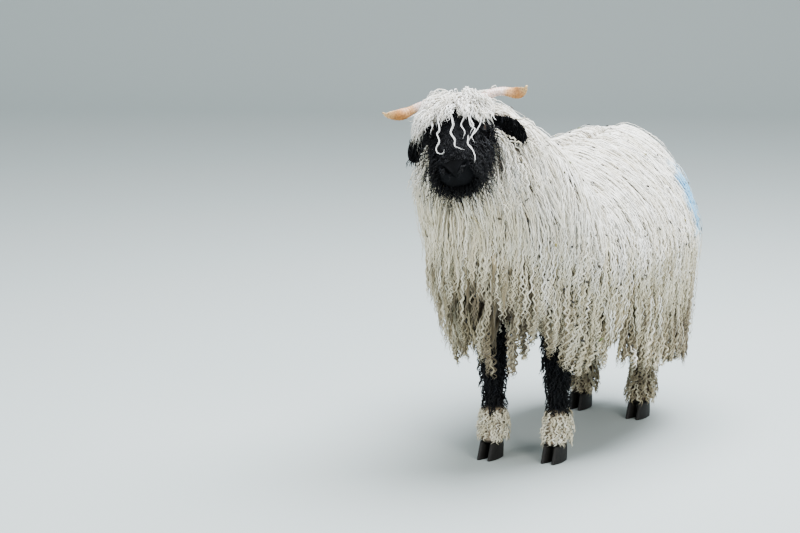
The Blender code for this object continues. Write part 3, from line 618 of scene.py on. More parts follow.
def ear_frame(a, side):
    """Middle, edge direction, inner face and half width of the ear at a share of its length."""
    way = Vector((side * EAR_WAY.x, EAR_WAY.y, EAR_WAY.z))
    root = Vector((side * EAR_ROOT.x, EAR_ROOT.y, EAR_ROOT.z))
    along = (way * EAR_LENGTH * (1 - 2 * EAR_BEND * a) + DOWN * 2 * EAR_DROOP * a).normalized()
    face = (EAR_OPENING - along * along.dot(EAR_OPENING)).normalized()
    middle = root + way * EAR_LENGTH * (a - EAR_BEND * a * a) + DOWN * EAR_DROOP * a * a
    if a < EAR_WIDEST:
        wide = 0.42 + 0.58 * math.sin(math.pi * a**0.8) ** 0.8
    else:
        wide = math.sqrt(max(1 - ((a - EAR_WIDEST) / (1.02 - EAR_WIDEST)) ** 2, 0))
    return middle, along.cross(face), face, EAR_HALF_WIDTH * wide


def ear_surface(a, b, side, lift):
    """A point of the ear: a along it, b from -1 to 1 across it, lift off its middle sheet."""
    middle, across, face, half_width = ear_frame(a, side)
    roll = EAR_TIP_ROLL + (EAR_ROOT_ROLL - EAR_TIP_ROLL) * (1 - float(smooth(a * 1.6)))
    radius = half_width / roll
    out = across * math.sin(b * roll) - face * math.cos(b * roll)
    return middle + face * radius + out * (radius + lift)


def ear(side):
    rings = []
    for i in range(EAR_STEPS):
        a = i / (EAR_STEPS - 1)
        half = EAR_THICKNESS / 2 * (1 - 0.55 * a)
        turns = [2 * j / EAR_ACROSS - 1 for j in range(EAR_ACROSS + 1)]
        ripple = [0.0012 * math.sin(9 * a + 4 * b) * (1 - b * b) for b in turns]
        outer = [ear_surface(a, b, side, half + r) for b, r in zip(turns, ripple)]
        inner = [ear_surface(a, b, side, r - half) for b, r in zip(turns, ripple)]
        rings.append(outer + inner[::-1])
    made = loft("ear", rings)
    made.data.transform(HEAD_FRAME)
    return made

# %% [markdown]
# ## Legs
# A sheep's leg is bone and tendon with hardly any flesh below the knee, so a few measured rings are enough.
# The knee swells in front and the fetlock behind, and a hollow runs down each side of the slim cannon bone
# in front of the tendon. Three soft bumps add these.

# %% Legs
# share of the way down, height, step forward (-) or back (+), half width, half depth
FORE_LEG = [
    (0.0, 0.430, 0.000, 0.050, 0.062),
    (0.3, 0.330, 0.000, 0.037, 0.044),
    (0.5, 0.250, -0.004, 0.032, 0.034),
    (0.7, 0.150, 0.000, 0.025, 0.027),
    (0.88, 0.085, 0.002, 0.028, 0.032),
    (1.0, CORONET_HEIGHT, -0.010, 0.027, 0.034),
]
HIND_LEG = [
    (0.0, 0.450, -0.030, 0.058, 0.085),
    (0.25, 0.365, -0.004, 0.044, 0.060),
    (0.45, 0.285, 0.034, 0.031, 0.042),
    (0.68, 0.180, 0.028, 0.025, 0.029),
    (0.88, 0.090, 0.012, 0.028, 0.032),
    (1.0, CORONET_HEIGHT, -0.004, 0.027, 0.034),
]
# name, stations, foot x, foot y before the body's shift
LEGS = [
    ("fore_leg_left", FORE_LEG, 0.084, -0.245),
    ("fore_leg_right", FORE_LEG, -0.082, -0.290),
    ("hind_leg_left", HIND_LEG, 0.095, 0.300),
    ("hind_leg_right", HIND_LEG, -0.095, 0.325),
]
LEG_STEPS = 70
LEG_SIDES = 36
print("legs:", [name for name, _, _, _ in LEGS])


def leg_surface(stations, foot, f, turn):
    """Points of a leg. turn is 0 on its left and a quarter at its back."""
    _, turn, rows = table_at(stations, f, turn)
    front, behind = np.maximum(-np.sin(turn), 0), np.maximum(np.sin(turn), 0)
    height = rows[..., 0]
    swell = 0.004 * bump(height - 0.262, 0.026) * front + 0.003 * bump(height - 0.095, 0.016) * behind
    hollow = 0.004 * bump(height - 0.19, 0.05) * np.abs(np.cos(turn)) ** 3
    x = foot[0] + (rows[..., 2] + swell - hollow) * np.cos(turn)
    y = foot[1] + rows[..., 1] + (rows[..., 3] + swell) * np.sin(turn)
    return np.stack([x, y + BODY_SHIFT.y, height], axis=-1)


def leg(stations, foot):
    f = np.linspace(0, 1, LEG_STEPS)[:, None]
    turn = circle(LEG_SIDES)[None, :]
    return loft("leg", leg_surface(stations, foot, f, turn))

# %% [markdown]
# ## Tail
# An undocked tail reaches the hocks. It is kept slimmer than in the solids, because its wool is added later
# and brings it out to the same size.

# %% Tail
# share of the length, y, z, radius
TAIL_STATIONS = [
    (0.0, 0.330, 0.700, 0.028),
    (0.2, 0.440, 0.665, 0.025),
    (0.45, 0.470, 0.570, 0.021),
    (0.75, 0.470, 0.470, 0.016),
    (1.0, 0.465, 0.395, 0.009),
]


def tail():
    y, z, radius = through(TAIL_STATIONS, np.linspace(0, 1, 24)).T[:, :, None]
    turns = circle(20)
    along = unit(np.gradient(np.concatenate([y, z], axis=1), axis=0))
    x = radius * np.cos(turns)
    y = y - along[:, 1:] * radius * np.sin(turns) + BODY_SHIFT.y
    return loft("tail", np.stack([x, y, z + along[:, :1] * radius * np.sin(turns)], axis=-1))

# %% [markdown]
# ## The markings
# The coat and the skin ask one function how black a point is, so the markings agree. It works in places
# on the body: a wedge up the face that runs out between the brows, a patch round each eye, the knees, the
# hocks, the feet, and the spot under a ewe's tail.

# %% Markings
FACE_REACH = 0.20
EYE_PATCH = 0.031
# heights of the edges between black and white on the legs
BLACK_LEG_TOP = 0.375
FORE_STOCKING_TOP = 0.128
HIND_STOCKING_TOP = 0.215
BLACK_FOOT_TOP = 0.056
TAIL_SPOT = (0.0, 0.50 + BODY_SHIFT.y, 0.640)
TAIL_SPOT_RADIUS = 0.050


def noise(points, size, seed):
    """Soft noise from -1 to 1 at each point, made of a few waves of about the given size."""
    draw = np.random.RandomState(seed)
    total = np.zeros(points.shape[:-1])
    for _ in range(9):
        way = draw.normal(size=3)
        way /= np.linalg.norm(way)
        total += np.sin(points @ way * 2 * np.pi / (size * draw.uniform(0.6, 1.6)) + draw.uniform(0, 6.28))
    return total / 4.5


def blackness(points):
    """How black the coat is at each point: 0 white, 1 black."""
    local = moved(points, WORLD_TO_HEAD)
    f = -local[..., 1] / HEAD_LENGTH
    x, z = local[..., 0], local[..., 2]
    near_head = np.linalg.norm(local - (0, -0.14, 0), axis=-1) < FACE_REACH
    wobble = 0.02 * noise(points, 0.03, 4)
    edge = 0.33 + 1.9 * np.maximum(np.abs(x) - 0.006, 0) * (z > -0.02)
    edge = np.where(z < 0.0, 0.40 + 0.9 * np.maximum(-z - 0.02, 0), np.minimum(edge, 0.47))
    face = smooth((f - edge + wobble) / 0.04)
    for side in (-1, 1):
        ear_root = (side * EAR_ROOT.x, EAR_ROOT.y, EAR_ROOT.z)
        patch = near_line(local, [eye_centre(side) - (0, 0, 0.006), ear_root])
        face = np.maximum(face, smooth((EYE_PATCH + 0.2 * wobble - patch) / 0.008))
    dark = face * near_head
    height, y = points[..., 2], points[..., 1] - BODY_SHIFT.y
    narrow = smooth((BLACK_LEG_TOP - height) / 0.008)
    fore = smooth((height - FORE_STOCKING_TOP) / 0.014)
    hind = smooth((height - HIND_STOCKING_TOP) / 0.02)
    foot = smooth((BLACK_FOOT_TOP - height) / 0.008)
    dark = np.maximum(dark, narrow * np.where(y < 0.1, fore, hind))
    dark = np.maximum(dark, foot)
    spot = np.linalg.norm((points - TAIL_SPOT) * (1.0, 0.6, 0.8), axis=-1)
    return np.clip(np.maximum(dark, smooth((TAIL_SPOT_RADIUS - spot) / 0.015)), 0, 1)

# %% [markdown]
# ## Soiling and dye
# Another function gives how soiled the white wool is: cream on the chest and low flanks, brown behind. A
# third gives the smear of blue dye. The results are kept as a number at each point of a mesh, which the
# materials read. The soiling number also carries painted shade, added below: on the belly's skin, and on the
# fleece's locks the deeper they lie.


# %% Soiling and dye
def soiling(points):
    """How yellowed or soiled the white wool is: 0 clean, 1 brown."""
    x, y, z = points[..., 0], points[..., 1] - BODY_SHIFT.y, points[..., 2]
    low = smooth((0.62 - z) / 0.36)
    chest = smooth((-0.33 - y) / 0.12) * smooth((0.84 - z) / 0.18) * (1 - 0.8 * smooth((x - 0.04) / 0.12))
    rear = smooth((y - 0.08) / 0.22) * smooth((0.52 - z) / 0.22)
    patch = 0.5 + 0.5 * noise(points, 0.09, 11)
    patchy = 0.95 * rear * (0.45 + 0.55 * patch) + 0.10 * patch
    return np.clip(0.04 + 0.24 * chest + 0.38 * low + patchy, 0, 1)


DYE_MIDDLE = (0.240, 0.310 + BODY_SHIFT.y, 0.640)
DYE_RADIUS = 0.100
DYE_BLUE = "#55AEDC"


def dye(points):
    """The pale blue smear of marking fluid on the left of the rump."""
    away = np.linalg.norm((points - DYE_MIDDLE) * (0.8, 0.9, 0.75), axis=-1)
    return smooth((DYE_RADIUS + 0.02 * noise(points, 0.04, 21) - away) / 0.05)


def paint_points(mesh, **values):
    """Stores a number at each point of a mesh, for its material to read."""
    for name, numbers in values.items():
        layer = mesh.attributes.new(name, "FLOAT", "POINT")
        layer.data.foreach_set("value", np.ascontiguousarray(numbers, np.float32))


def points_of(mesh):
    values = np.empty(len(mesh.vertices) * 3, np.float32)
    mesh.vertices.foreach_get("co", values)
    return values.reshape(-1, 3).astype(float)

# %% [markdown]
# ## Skin
# Under the wool the skin is pale and pink-grey; where the wool is black, so is the skin. On the nose and
# the legs the hair is short and lies flat, so there it is the surface itself: near black, rough, with a
# fine nap. The nap's grain is 1.2 mm, the width of a small tuft of face hair. Noise of a given scale makes
# spots of about half its wavelength, so the scale is 1000 / mm / 2. The paler clouds are 18 mm wide.

# %% Skin material
NAP_MM = 1.2


def skin_material():
    """Live skin with flat hair: matt, with no sheen of its own."""
    material, tree, shader = new_material("short_haired_skin", Roughness=0.85, Specular_IOR_Level=0.10)
    place = add_node(tree, "TexCoord").outputs["Object"]
    black = add_node(tree, "Attribute", attribute_name="black").outputs["Fac"]
    # the soil number is the soiling, with painted shade added on the belly
    soil = add_node(tree, "Attribute", attribute_name="soil").outputs["Fac"]
    grain = {"Vector": place, "Scale": 1000 / NAP_MM / 2, "Detail": 3.0}
    nap = add_node(tree, "TexNoise", grain).outputs["Fac"]
    cloud = add_node(tree, "TexNoise", {"Vector": place, "Scale": 28.0}).outputs["Fac"]
    pink_to_brown = ((0.0, "#D9CDBE"), (0.5, "#8F806B"), (1.0, "#4A4034"))
    pale = add_node(tree, "ValToRGB", {"Fac": soil}, pink_to_brown).outputs["Color"]
    blacks = ((0.30, "#030304"), (0.72, "#090A0D"))
    dark = add_node(tree, "ValToRGB", {"Fac": cloud}, blacks).outputs["Color"]
    colour = add_node(tree, "Mix", {0: black, 6: pale, 7: dark}, **MIX).outputs[2]
    tree.links.new(colour, shader.inputs["Base Color"])
    height = add_node(tree, "Bump", {"Strength": 0.55, "Distance": NAP_MM / 1000 * 0.6, "Height": nap})
    tree.links.new(height.outputs["Normal"], shader.inputs["Normal"])
    return material

# %% [markdown]
# ## One skin
# All parts are fused into one closed mesh, as skin is on the real animal, so that no seam shows where a leg
# meets the body. Points for the wool's roots are taken before that, while each part is still apart.

# %% One skin
# how far out the skin of trunk and neck lies, as a share of the fleece's depth
SKIN_SHARE = 0.22
# places that each part offers to the roots of the wool
HEAD_PLACES = 60000
PART_PLACES = 9000


def tree_of(piece):
    """The piece's mesh, ready to be asked for the nearest point on it."""
    faces = [list(p.vertices) for p in piece.data.polygons]
    return BVHTree.FromPolygons(points_of(piece.data).tolist(), faces)


def samples_on(piece, count, seed):
    """Random points spread evenly over a mesh."""
    mesh = piece.data
    mesh.calc_loop_triangles()
    corners = np.empty(len(mesh.loop_triangles) * 3, np.int32)
    mesh.loop_triangles.foreach_get("vertices", corners)
    a, b, c = points_of(mesh)[corners.reshape(-1, 3)].transpose(1, 0, 2)
    area = np.linalg.norm(np.cross(b - a, c - a), axis=1)
    draw = np.random.RandomState(seed)
    chosen = draw.choice(len(area), count, p=area / area.sum())
    s, t = draw.uniform(0, 1, (2, count, 1))
    s, t = np.where(s + t > 1, 1 - s, s), np.where(s + t > 1, 1 - t, t)
    return a[chosen] + (b[chosen] - a[chosen]) * s + (c[chosen] - a[chosen]) * t


def body_skin():
    """Trunk, neck, head, ears, legs and tail as one closed mesh, and roots for wool on its small parts."""
    u = POLE * np.linspace(-1, 1, 60)[:, None]
    v = np.linspace(0, 2, 64, endpoint=False)[None, :]
    side = np.where(v <= 1, 1.0, -1.0)
    trunk = loft("ewe_skin", trunk_ring(u, np.where(v <= 1, v, 2 - v), SKIN_SHARE, side))
    f = np.linspace(0, 1, 36)[:, None]
    turn = circle(48)[None, :]
    parts = {"neck": loft("neck", neck_point(f, turn, SKIN_SHARE)), "tail": tail()}
    parts["head"] = loft("head", moved(head_rings, HEAD_TO_WORLD))
    parts["ear_left"], parts["ear_right"] = ear(1), ear(-1)
    for name, stations, x, y in LEGS:
        parts[name] = leg(stations, (x, y))
    roots = {}
    for name, part in parts.items():
        roots[name] = samples_on(part, HEAD_PLACES if name == "head" else PART_PLACES, 3)
    trees = {name: tree_of(parts[name]) for name in ("head", "ear_left", "ear_right")}
    return fuse(trunk, list(parts.values())), roots, trees


skin, part_roots, part_trees = body_skin()
print("skin: %d points" % len(skin.data.vertices))

# %% [markdown]
# ## The skin's colours
# The face's black belongs to the head alone, so a point of the throat that lies close to it stays pale. The
# ears are black all over. The belly's skin is painted darker than the flanks' skin: painted shade under the
# body, added to the soiling number.

# %% The skin's colours
ON_PART = 0.0004
HEAD_ROUND = 0.36
# how much darker the belly's skin is painted: painted shade under the body
BELLY_PAINTED_SHADE = 0.6
skin_points = points_of(skin.data)
skin_black = blackness(skin_points)
for index in np.flatnonzero(np.linalg.norm(moved(skin_points, WORLD_TO_HEAD), axis=1) < HEAD_ROUND):
    on_part = {name: tree.find_nearest(skin_points[index])[3] < ON_PART for name, tree in part_trees.items()}
    skin_black[index] *= on_part["head"]
    if on_part["ear_left"] or on_part["ear_right"]:
        skin_black[index] = 1.0
# the belly's darkening is painted shade, stored with the soiling in one number
belly = smooth((0.50 - skin_points[:, 2]) / 0.10) * (skin_points[:, 2] > 0.26)
paint_points(skin.data, black=skin_black, soil=np.clip(soiling(skin_points) + BELLY_PAINTED_SHADE * belly, 0, 1))
skin.data.shade_smooth()
flesh = ["head", "neck", "torso_shoulders", "torso_barrel", "torso_rump", "tail", "ear_left", "ear_right"]
dress(skin, skin_material(), flesh + [name for name, _, _, _ in LEGS])
SKIN = tree_of(skin)

# %% [markdown]
# ## Eyes
# A sheep's eye is dark amber to brown with a wide, level pupil. The eyeball is a true sphere with the
# cornea's slight swell. The pupil and iris are drawn in the eyeball's own frame, whose X runs out of the
# head. The wet surface is what makes it look alive: low roughness under a clear coat. The streaks in the
# iris are about half a millimetre apart.


# %% Eye
def eye_material():
    """A wet cornea over a dark amber iris. Its IOR is the cornea's, 1.376."""
    values = {"Roughness": 0.06, "Coat_Weight": 1.0, "Coat_Roughness": 0.02, "IOR": 1.376}
    material, tree, shader = new_material("wet_eye", **values)
    place = add_node(tree, "TexCoord").outputs["Object"]
    parts = add_node(tree, "SeparateXYZ", {"Vector": place}).outputs
    flat = add_node(tree, "CombineXYZ", {"Y": parts["Y"], "Z": parts["Z"]}).outputs["Vector"]
    reach = add_node(tree, "VectorMath", {0: flat}, operation="LENGTH").outputs["Value"]
    streaks = add_node(tree, "TexNoise", {"Vector": place, "Scale": 900.0}).outputs["Fac"]
    browns = ((0.3, "#2A1608"), (0.75, "#5A3413"))
    amber = add_node(tree, "ValToRGB", {"Fac": streaks}, browns).outputs["Color"]
    slot = add_node(tree, "VectorMath", {0: flat, 1: (0.0, 0.42, 1.15)}, operation="MULTIPLY")
    slot_size = add_node(tree, "VectorMath", {0: slot.outputs["Vector"]}, operation="LENGTH").outputs["Value"]
    pupil_edge = {"Value": slot_size, "From Min": 0.0024, "From Max": 0.0030}
    pupil = add_node(tree, "MapRange", pupil_edge).outputs["Result"]
    iris = add_node(tree, "Mix", {0: pupil, 6: linear("#020203"), 7: amber}, **MIX).outputs[2]
    iris_edge = {"Value": reach, "From Min": 0.0088, "From Max": 0.0102}
    edge = add_node(tree, "MapRange", iris_edge).outputs["Result"]
    colour = add_node(tree, "Mix", {0: edge, 6: iris, 7: linear("#1B120C")}, **MIX).outputs[2]
    tree.links.new(colour, shader.inputs["Base Color"])
    return material


def eyeball(name, side, material):
    """A ball of 14.5 mm radius with a cornea that swells 1 mm out of it."""
    turns = circle(40)[None, :]
    falls = np.linspace(0.06, np.pi - 0.06, 28)[:, None]
    swell = 1 + 0.07 * bump(falls, 0.42)
    x = np.cos(falls) * EYEBALL_RADIUS * swell + 0 * turns
    y = np.sin(falls) * np.cos(turns) * EYEBALL_RADIUS * swell
    z = np.sin(falls) * np.sin(turns) * EYEBALL_RADIUS * swell
    ball = loft(name, np.stack([side * x, y, z], axis=-1))
    ball.matrix_world = HEAD_FRAME @ Matrix.Translation(Vector(eye_centre(side)))
    dress(ball, material, [name.replace("eyeball", "eye")])


wet_eye = eye_material()
for side, word in SIDES:
    eyeball("eyeball_" + word, side, wet_eye)

# %% [markdown]
# ## Horns
# Horn is keratin, laid down in rings as it grows. It is pink and skin-like at the root, tan beyond it, and
# flattens into a blade that winds half a turn. Its growth rings are 6 mm apart and are real ridges.

# %% Horn
HORN_REACH = 0.152
HORN_STEPS = 90
HORN_SIDES = 28
HORN_RING_MM = 6.0
# share of the length, broad half width, thin half width, turn of the broad side
HORN_STATIONS = [
    (0.0, 0.0170, 0.0140, 0.0),
    (0.35, 0.0145, 0.0115, 60.0),
    (0.6, 0.0130, 0.0095, 110.0),
    (0.78, 0.0150, 0.0060, 165.0),
    (0.9, 0.0110, 0.0045, 190.0),
    (1.0, 0.0025, 0.0020, 205.0),
]


def horn_axis(t, side):
    """The middle of the horn: out and back from the crown, down a little, then forward and up."""
    x = 0.036 + HORN_REACH * t
    y = -0.048 + 0.050 * math.sin(math.pi * min(t * 1.05, 1)) - 0.012 * t
    z = 0.036 - 0.011 * math.sin(math.pi * t * t) ** 2 + 0.034 * t**5
    return Vector((side * x, y, z))


def horn_ring(t, side):
    """One ring of the horn, 0.4 mm inside the solid, so that its 0.5 mm ridges hardly stand past it."""
    broad, thin, twist = through(HORN_STATIONS, t)[0]
    along = (horn_axis(t + 0.01, side) - horn_axis(t - 0.01, side)).normalized()
    first = (Vector((0, 0, 1)) - along * along.z).normalized()
    second = along.cross(first)
    turned = side * math.radians(twist)
    wide = first * math.cos(turned) + second * math.sin(turned)
    narrow = second * math.cos(turned) - first * math.sin(turned)
    ridge = 0.0005 * math.sin(2 * math.pi * t * HORN_REACH * 1000 / HORN_RING_MM) * float(smooth(t * 4))
    pinch = 0.10 * float(smooth((t - 0.5) * 3))
    ring = []
    for k in range(HORN_SIDES):
        a = 2 * math.pi * k / HORN_SIDES
        slim = 1 - pinch * math.sin(2 * a) ** 2
        ring.append(
            horn_axis(t, side)
            + wide * ((broad - 0.0004 + ridge) * math.cos(a) * slim)
            + narrow * ((thin - 0.0004 + ridge) * math.sin(a) * slim)
        )
    return ring

# %% [markdown]
# ## Horn's finish
# The colour runs from skin pink to tan along the horn, with a bright tip where the light shines through.
# Fine dark streaks, about 2 mm apart, follow the keratin.


# %% Horn material
def horn_material():
    """Keratin, grown and not worked: half matt, a little see-through, streaked along its length."""
    values = {"Subsurface_Weight": 0.12, "Subsurface_Radius": (0.006, 0.003, 0.0015)}
    material, tree, shader = new_material("grown_horn", Roughness=0.46, IOR=1.55, **values)
    share = add_node(tree, "Attribute", attribute_name="share").outputs["Fac"]
    place = add_node(tree, "TexCoord").outputs["Object"]
    grain = {"Vector": place, "Scale": 240.0, "Detail": 4.0}
    streak = add_node(tree, "TexNoise", grain).outputs["Fac"]
    pink_to_tan = ((0, "#E6CDC6"), (0.50, "#EAD2C6"), (0.60, "#CF9D66"), (0.82, "#BD8040"), (1, "#E3BE84"))
    colour = add_node(tree, "ValToRGB", {"Fac": share}, pink_to_tan).outputs["Color"]
    brown_streaks = ((0.38, "#7C5632"), (0.60, "#FFFFFF"))
    dirt = add_node(tree, "ValToRGB", {"Fac": streak}, brown_streaks).outputs["Color"]
    worn = add_node(tree, "Mix", {0: 0.55, 6: colour, 7: dirt}, **MULTIPLY).outputs[2]
    tree.links.new(worn, shader.inputs["Base Color"])
    normal = add_node(tree, "Bump", {"Strength": 0.35, "Distance": 0.0006, "Height": streak})
    tree.links.new(normal.outputs["Normal"], shader.inputs["Normal"])
    return material


keratin = horn_material()
for side, word in SIDES:
    piece = loft("horn_blade_" + word, [horn_ring(s / (HORN_STEPS - 1), side) for s in range(HORN_STEPS)])
    share = np.repeat(np.linspace(0, 1, HORN_STEPS), HORN_SIDES)
    paint_points(piece.data, share=np.append(share, [0.0, 1.0]))
    piece.data.transform(HEAD_FRAME)
    dress(piece, keratin, ["horn_" + word])

# %% [markdown]
# ## Hooves
# Each foot has two claws, black and worn dull, flat below and sloping to the toe. They are lofts again,
# from the sole up, with faint growth rings 3 mm apart and scuffs about 1.6 mm across.

# %% Hooves
CLAW_GAP = 0.0035
CLAW_HALF_WIDTH = 0.0135
CLAW_RING_MM = 3.0
# height, half width, toe and heel from the foot's middle
CLAW_STATIONS = [
    (0.0, 0.0135, -0.056, 0.027),
    (0.030, 0.0130, -0.043, 0.028),
    (0.0447, 0.0120, -0.036, 0.026),
]


def claw_rings(foot, step, side):
    """One claw of the cloven hoof, from the sole up."""
    middle = foot[0] + side * (CLAW_HALF_WIDTH + CLAW_GAP / 2)
    turns = circle(32)
    narrow = 1 - 0.45 * np.maximum(np.sin(turns), 0) ** 2
    squarer = np.where(np.sin(turns) > 0, np.sin(turns), power(np.sin(turns), 2.6))
    rings = []
    for height in np.append([0.0, 0.0006], np.linspace(0.002, CORONET_HEIGHT - 0.0003, 26)):
        half, toe, heel = through(CLAW_STATIONS, height)[0]
        bevel = 0.0008 if height == 0 else 0.0
        ridge = 0.00030 * math.sin(2 * math.pi * height * 1000 / CLAW_RING_MM) - bevel
        x = middle + (half + ridge) * power(np.cos(turns), 2.6) * narrow
        y = foot[1] + step + (toe + heel) / 2 - ((heel - toe) / 2 + ridge) * squarer + BODY_SHIFT.y
        rings.append(np.stack([x, y, np.full_like(x, height)], axis=-1))
    return rings


def hoof_material():
    """Keratin again, black and scuffed: dull, with paler scratches where stones have rubbed it."""
    material, tree, shader = new_material("worn_hoof", Roughness=0.60, Specular_IOR_Level=0.25)
    place = add_node(tree, "TexCoord").outputs["Object"]
    grain = {"Vector": place, "Scale": 320.0, "Detail": 5.0}
    scuff = add_node(tree, "TexNoise", grain).outputs["Fac"]
    black_to_grey = ((0.35, "#080706"), (0.6, "#141210"), (0.80, "#3A342C"))
    colour = add_node(tree, "ValToRGB", {"Fac": scuff}, black_to_grey).outputs["Color"]
    tree.links.new(colour, shader.inputs["Base Color"])
    normal = add_node(tree, "Bump", {"Strength": 0.4, "Distance": 0.0005, "Height": scuff})
    tree.links.new(normal.outputs["Normal"], shader.inputs["Normal"])
    return material


worn_hoof = hoof_material()
for name, stations, x, y in LEGS:
    for side, word in SIDES:
        node = name.replace("leg", "hoof") + "_" + word
        piece = loft("claw_" + node, claw_rings((x, y), stations[-1][2], side))
        dress(piece, worn_hoof, [node])

# %% [markdown]
# ## The coat's outer surface
# Wool hangs from the back and the neck and lies on the wool below it. So the locks need a surface to lie
# on: the envelope of the whole fleece, fused from the trunk's, the neck's and the head's. Each lock starts
# just under it, and runs down over it as water would, until it hangs free below.

# %% Envelope
CROWN_WOOL = 0.024


def head_wool(f, turn):
    """Depth of the wool on the head: full on the crown and cheeks, none from the eyes forward."""
    under = smooth(-np.sin(turn))
    return CROWN_WOOL * (1 - smooth((f - 0.20 - 0.12 * under) / 0.22)) * (1 - 0.35 * under)


def envelope():
    """The fleece's outer surface as one closed mesh, for finding the nearest point on it."""
    u = POLE * np.linspace(-1, 1, 70)[:, None]
    v = np.append(np.linspace(0, 1, 36), np.linspace(1, 0, 36)[:-1])[None, :]
    side = np.append(np.ones(36), -np.ones(35))[None, :]
    u, v, side = np.broadcast_arrays(u, v, side)
    outer = loft("envelope", fleece_point(u, v, 1.0, side))
    f = np.linspace(0, 1, 40)[:, None]
    turn = circle(60)[None, :]
    neck = loft("neck", neck_point(f, turn, 1.0))
    f = np.linspace(0, 1, 50)[:, None]
    head = loft("head", moved(head_point(f, turn, head_wool(f, turn)), HEAD_TO_WORLD))
    return fuse(outer, [neck, head])


fleece_form = envelope()
FLEECE = tree_of(fleece_form)
print("envelope: %d faces" % len(fleece_form.data.polygons))
bpy.data.objects.remove(fleece_form)

# %% [markdown]
# ## Where the locks grow
# Evenly spread roots keep the coat from clotting. Random points are thrown on the surface, and each is kept
# only if no kept point is nearer than the spacing, which a grid of cells finds quickly.


# %% Roots spread evenly
def spread(points, spacing, seed):
    """Indexes of points that lie at least spacing apart, taken in a random order."""
    order = np.random.RandomState(seed).permutation(len(points))
    cells = np.floor(points / spacing).astype(int).tolist()
    places = points.tolist()
    taken = {}
    chosen = []
    around = [(i, j, k) for i in (-1, 0, 1) for j in (-1, 0, 1) for k in (-1, 0, 1)]
    for n in order.tolist():
        cx, cy, cz = cells[n]
        x, y, z = places[n]
        near = [q for i, j, k in around for q in taken.get((cx + i, cy + j, cz + k), ())]
        if all((x - q[0]) ** 2 + (y - q[1]) ** 2 + (z - q[2]) ** 2 >= spacing**2 for q in near):
            taken.setdefault((cx, cy, cz), []).append((x, y, z))
            chosen.append(n)
    return np.array(chosen, int)


def fleece_places(count, seed):
    """Random points all over the trunk's and the neck's fleece, with their places on the skin's unwrap.

    The unwrap has four quarters: trunk and neck below, head and legs above.
    """
    draw = np.random.RandomState(seed)
    u = draw.uniform(-1, 1, count) / 2 + np.sin(draw.uniform(-1, 1, count) * np.pi / 2) / 2
    v = draw.uniform(0, 1, count)
    side = draw.choice([-1.0, 1.0], count)
    trunk_map = np.stack([0.25 + 0.23 * side * v, 0.25 + 0.23 * u], axis=-1)
    f = draw.uniform(0, 1, count // 2)
    turn = draw.uniform(0, 2 * np.pi, count // 2)
    neck_map = np.stack([0.52 + 0.46 * turn / (2 * np.pi), 0.02 + 0.46 * f], axis=-1)
    points = np.vstack([fleece_point(POLE * u, v, 1.0, side), neck_point(f, turn, 1.0)])
    return points, np.vstack([trunk_map, neck_map])


FLEECE_PLACES = 64000
ON_ENVELOPE = 0.003
EAR_CLEARANCE = 0.034
places, place_maps = fleece_places(FLEECE_PLACES, 5)
nearest = [FLEECE.find_nearest(p) for p in places]
facing = np.array([n[1] for n in nearest])
outside = (np.array([n[3] for n in nearest]) < ON_ENVELOPE) & (facing[:, 2] > -0.5)
in_head = moved(places, WORLD_TO_HEAD)
outside &= ~((in_head[:, 1] < -0.01) & (np.abs(in_head[:, 0]) < 0.09) & (in_head[:, 2] > -0.10))
ear_line = [HEAD_FRAME @ ear_frame(step / 6, side)[0] for side in (-1, 1) for step in range(7)]
for point in np.array(ear_line):
    aside = np.linalg.norm(places[:, :2] - point[:2], axis=1)
    rise = places[:, 2] - point[2]
    outside &= ~((aside < EAR_CLEARANCE) & (rise > -0.01) & (rise < 0.12) & (places[:, 1] < point[1] + 0.012))
places, place_maps, facing = places[outside], place_maps[outside], facing[outside]
print("%d places on the fleece" % len(places))

# %% [markdown]
# ## Middle lines of the locks
# Each lock has a middle line. A lock of the fleece is led down over the envelope. Locks near each other
# then lean to a shared line, which is how wool gathers into staples. A smooth spline through a few points
# gives the line as many rings as it needs.

# %% Lines
HANG_STEPS = 8


def spline_weights(count, knots):
    """Weights that turn knots into a smooth line of count points, as a clamped cubic B-spline."""
    t = np.linspace(0, knots - 1, count)
    i = np.minimum(t.astype(int), knots - 2)
    s = t - i
    parts = [(1 - s) ** 3, 3 * s**3 - 6 * s**2 + 4, -3 * s**3 + 3 * s**2 + 3 * s + 1, s**3]
    padded = np.zeros((count, knots + 2))
    for k, part in enumerate(parts):
        padded[np.arange(count), i + k] += part / 6
    weights = padded[:, 1:-1].copy()
    weights[:, 0] += 2 * padded[:, 0]
    weights[:, 1] -= padded[:, 0]
    weights[:, -1] += 2 * padded[:, -1]
    weights[:, -2] -= padded[:, -1]
    return weights


def hang(root, normal, length, depth, sunk, pull):
    """The middle line of one fleece lock: out of the fleece at its root, then down over the envelope."""
    here, n = Vector(root), Vector(normal)
    line, normals = [here - n * (depth + sunk)], [n]
    stride = length / HANG_STEPS
    way = pull
    free = False
    for k in range(1, HANG_STEPS + 1):
        along = pull - n * pull.dot(n)
        free = free or along.length < 0.25 or n.z < -0.30
        way = (Vector((0, 0, -0.7)) + way * 0.3 if free else along).normalized()
        here = here + way * stride
        if not free:
            here, outward, _, _ = FLEECE.find_nearest(here)
            n = (n + outward * 2).normalized()
        line.append(here - n * (depth + sunk * max(1 - k / HANG_STEPS * 3.4, 0) ** 2))
        normals.append(n)
    return line, normals


def gather(lines, roots, spacing, share, seed):
    """Leans the lines towards the nearest of a few of them, and tells which one that is."""
    heads = spread(roots, spacing, seed)
    owner = np.empty(len(roots), int)
    for start in range(0, len(roots), 2000):
        gaps = roots[start : start + 2000, None] - roots[None, heads]
        owner[start : start + 2000] = heads[np.argmin((gaps**2).sum(axis=-1), axis=1)]
    lean = share * smooth(np.linspace(0, 1, lines.shape[1]) * 1.15)[None, :, None]
    return lines + (lines[owner] - lines) * lean, owner

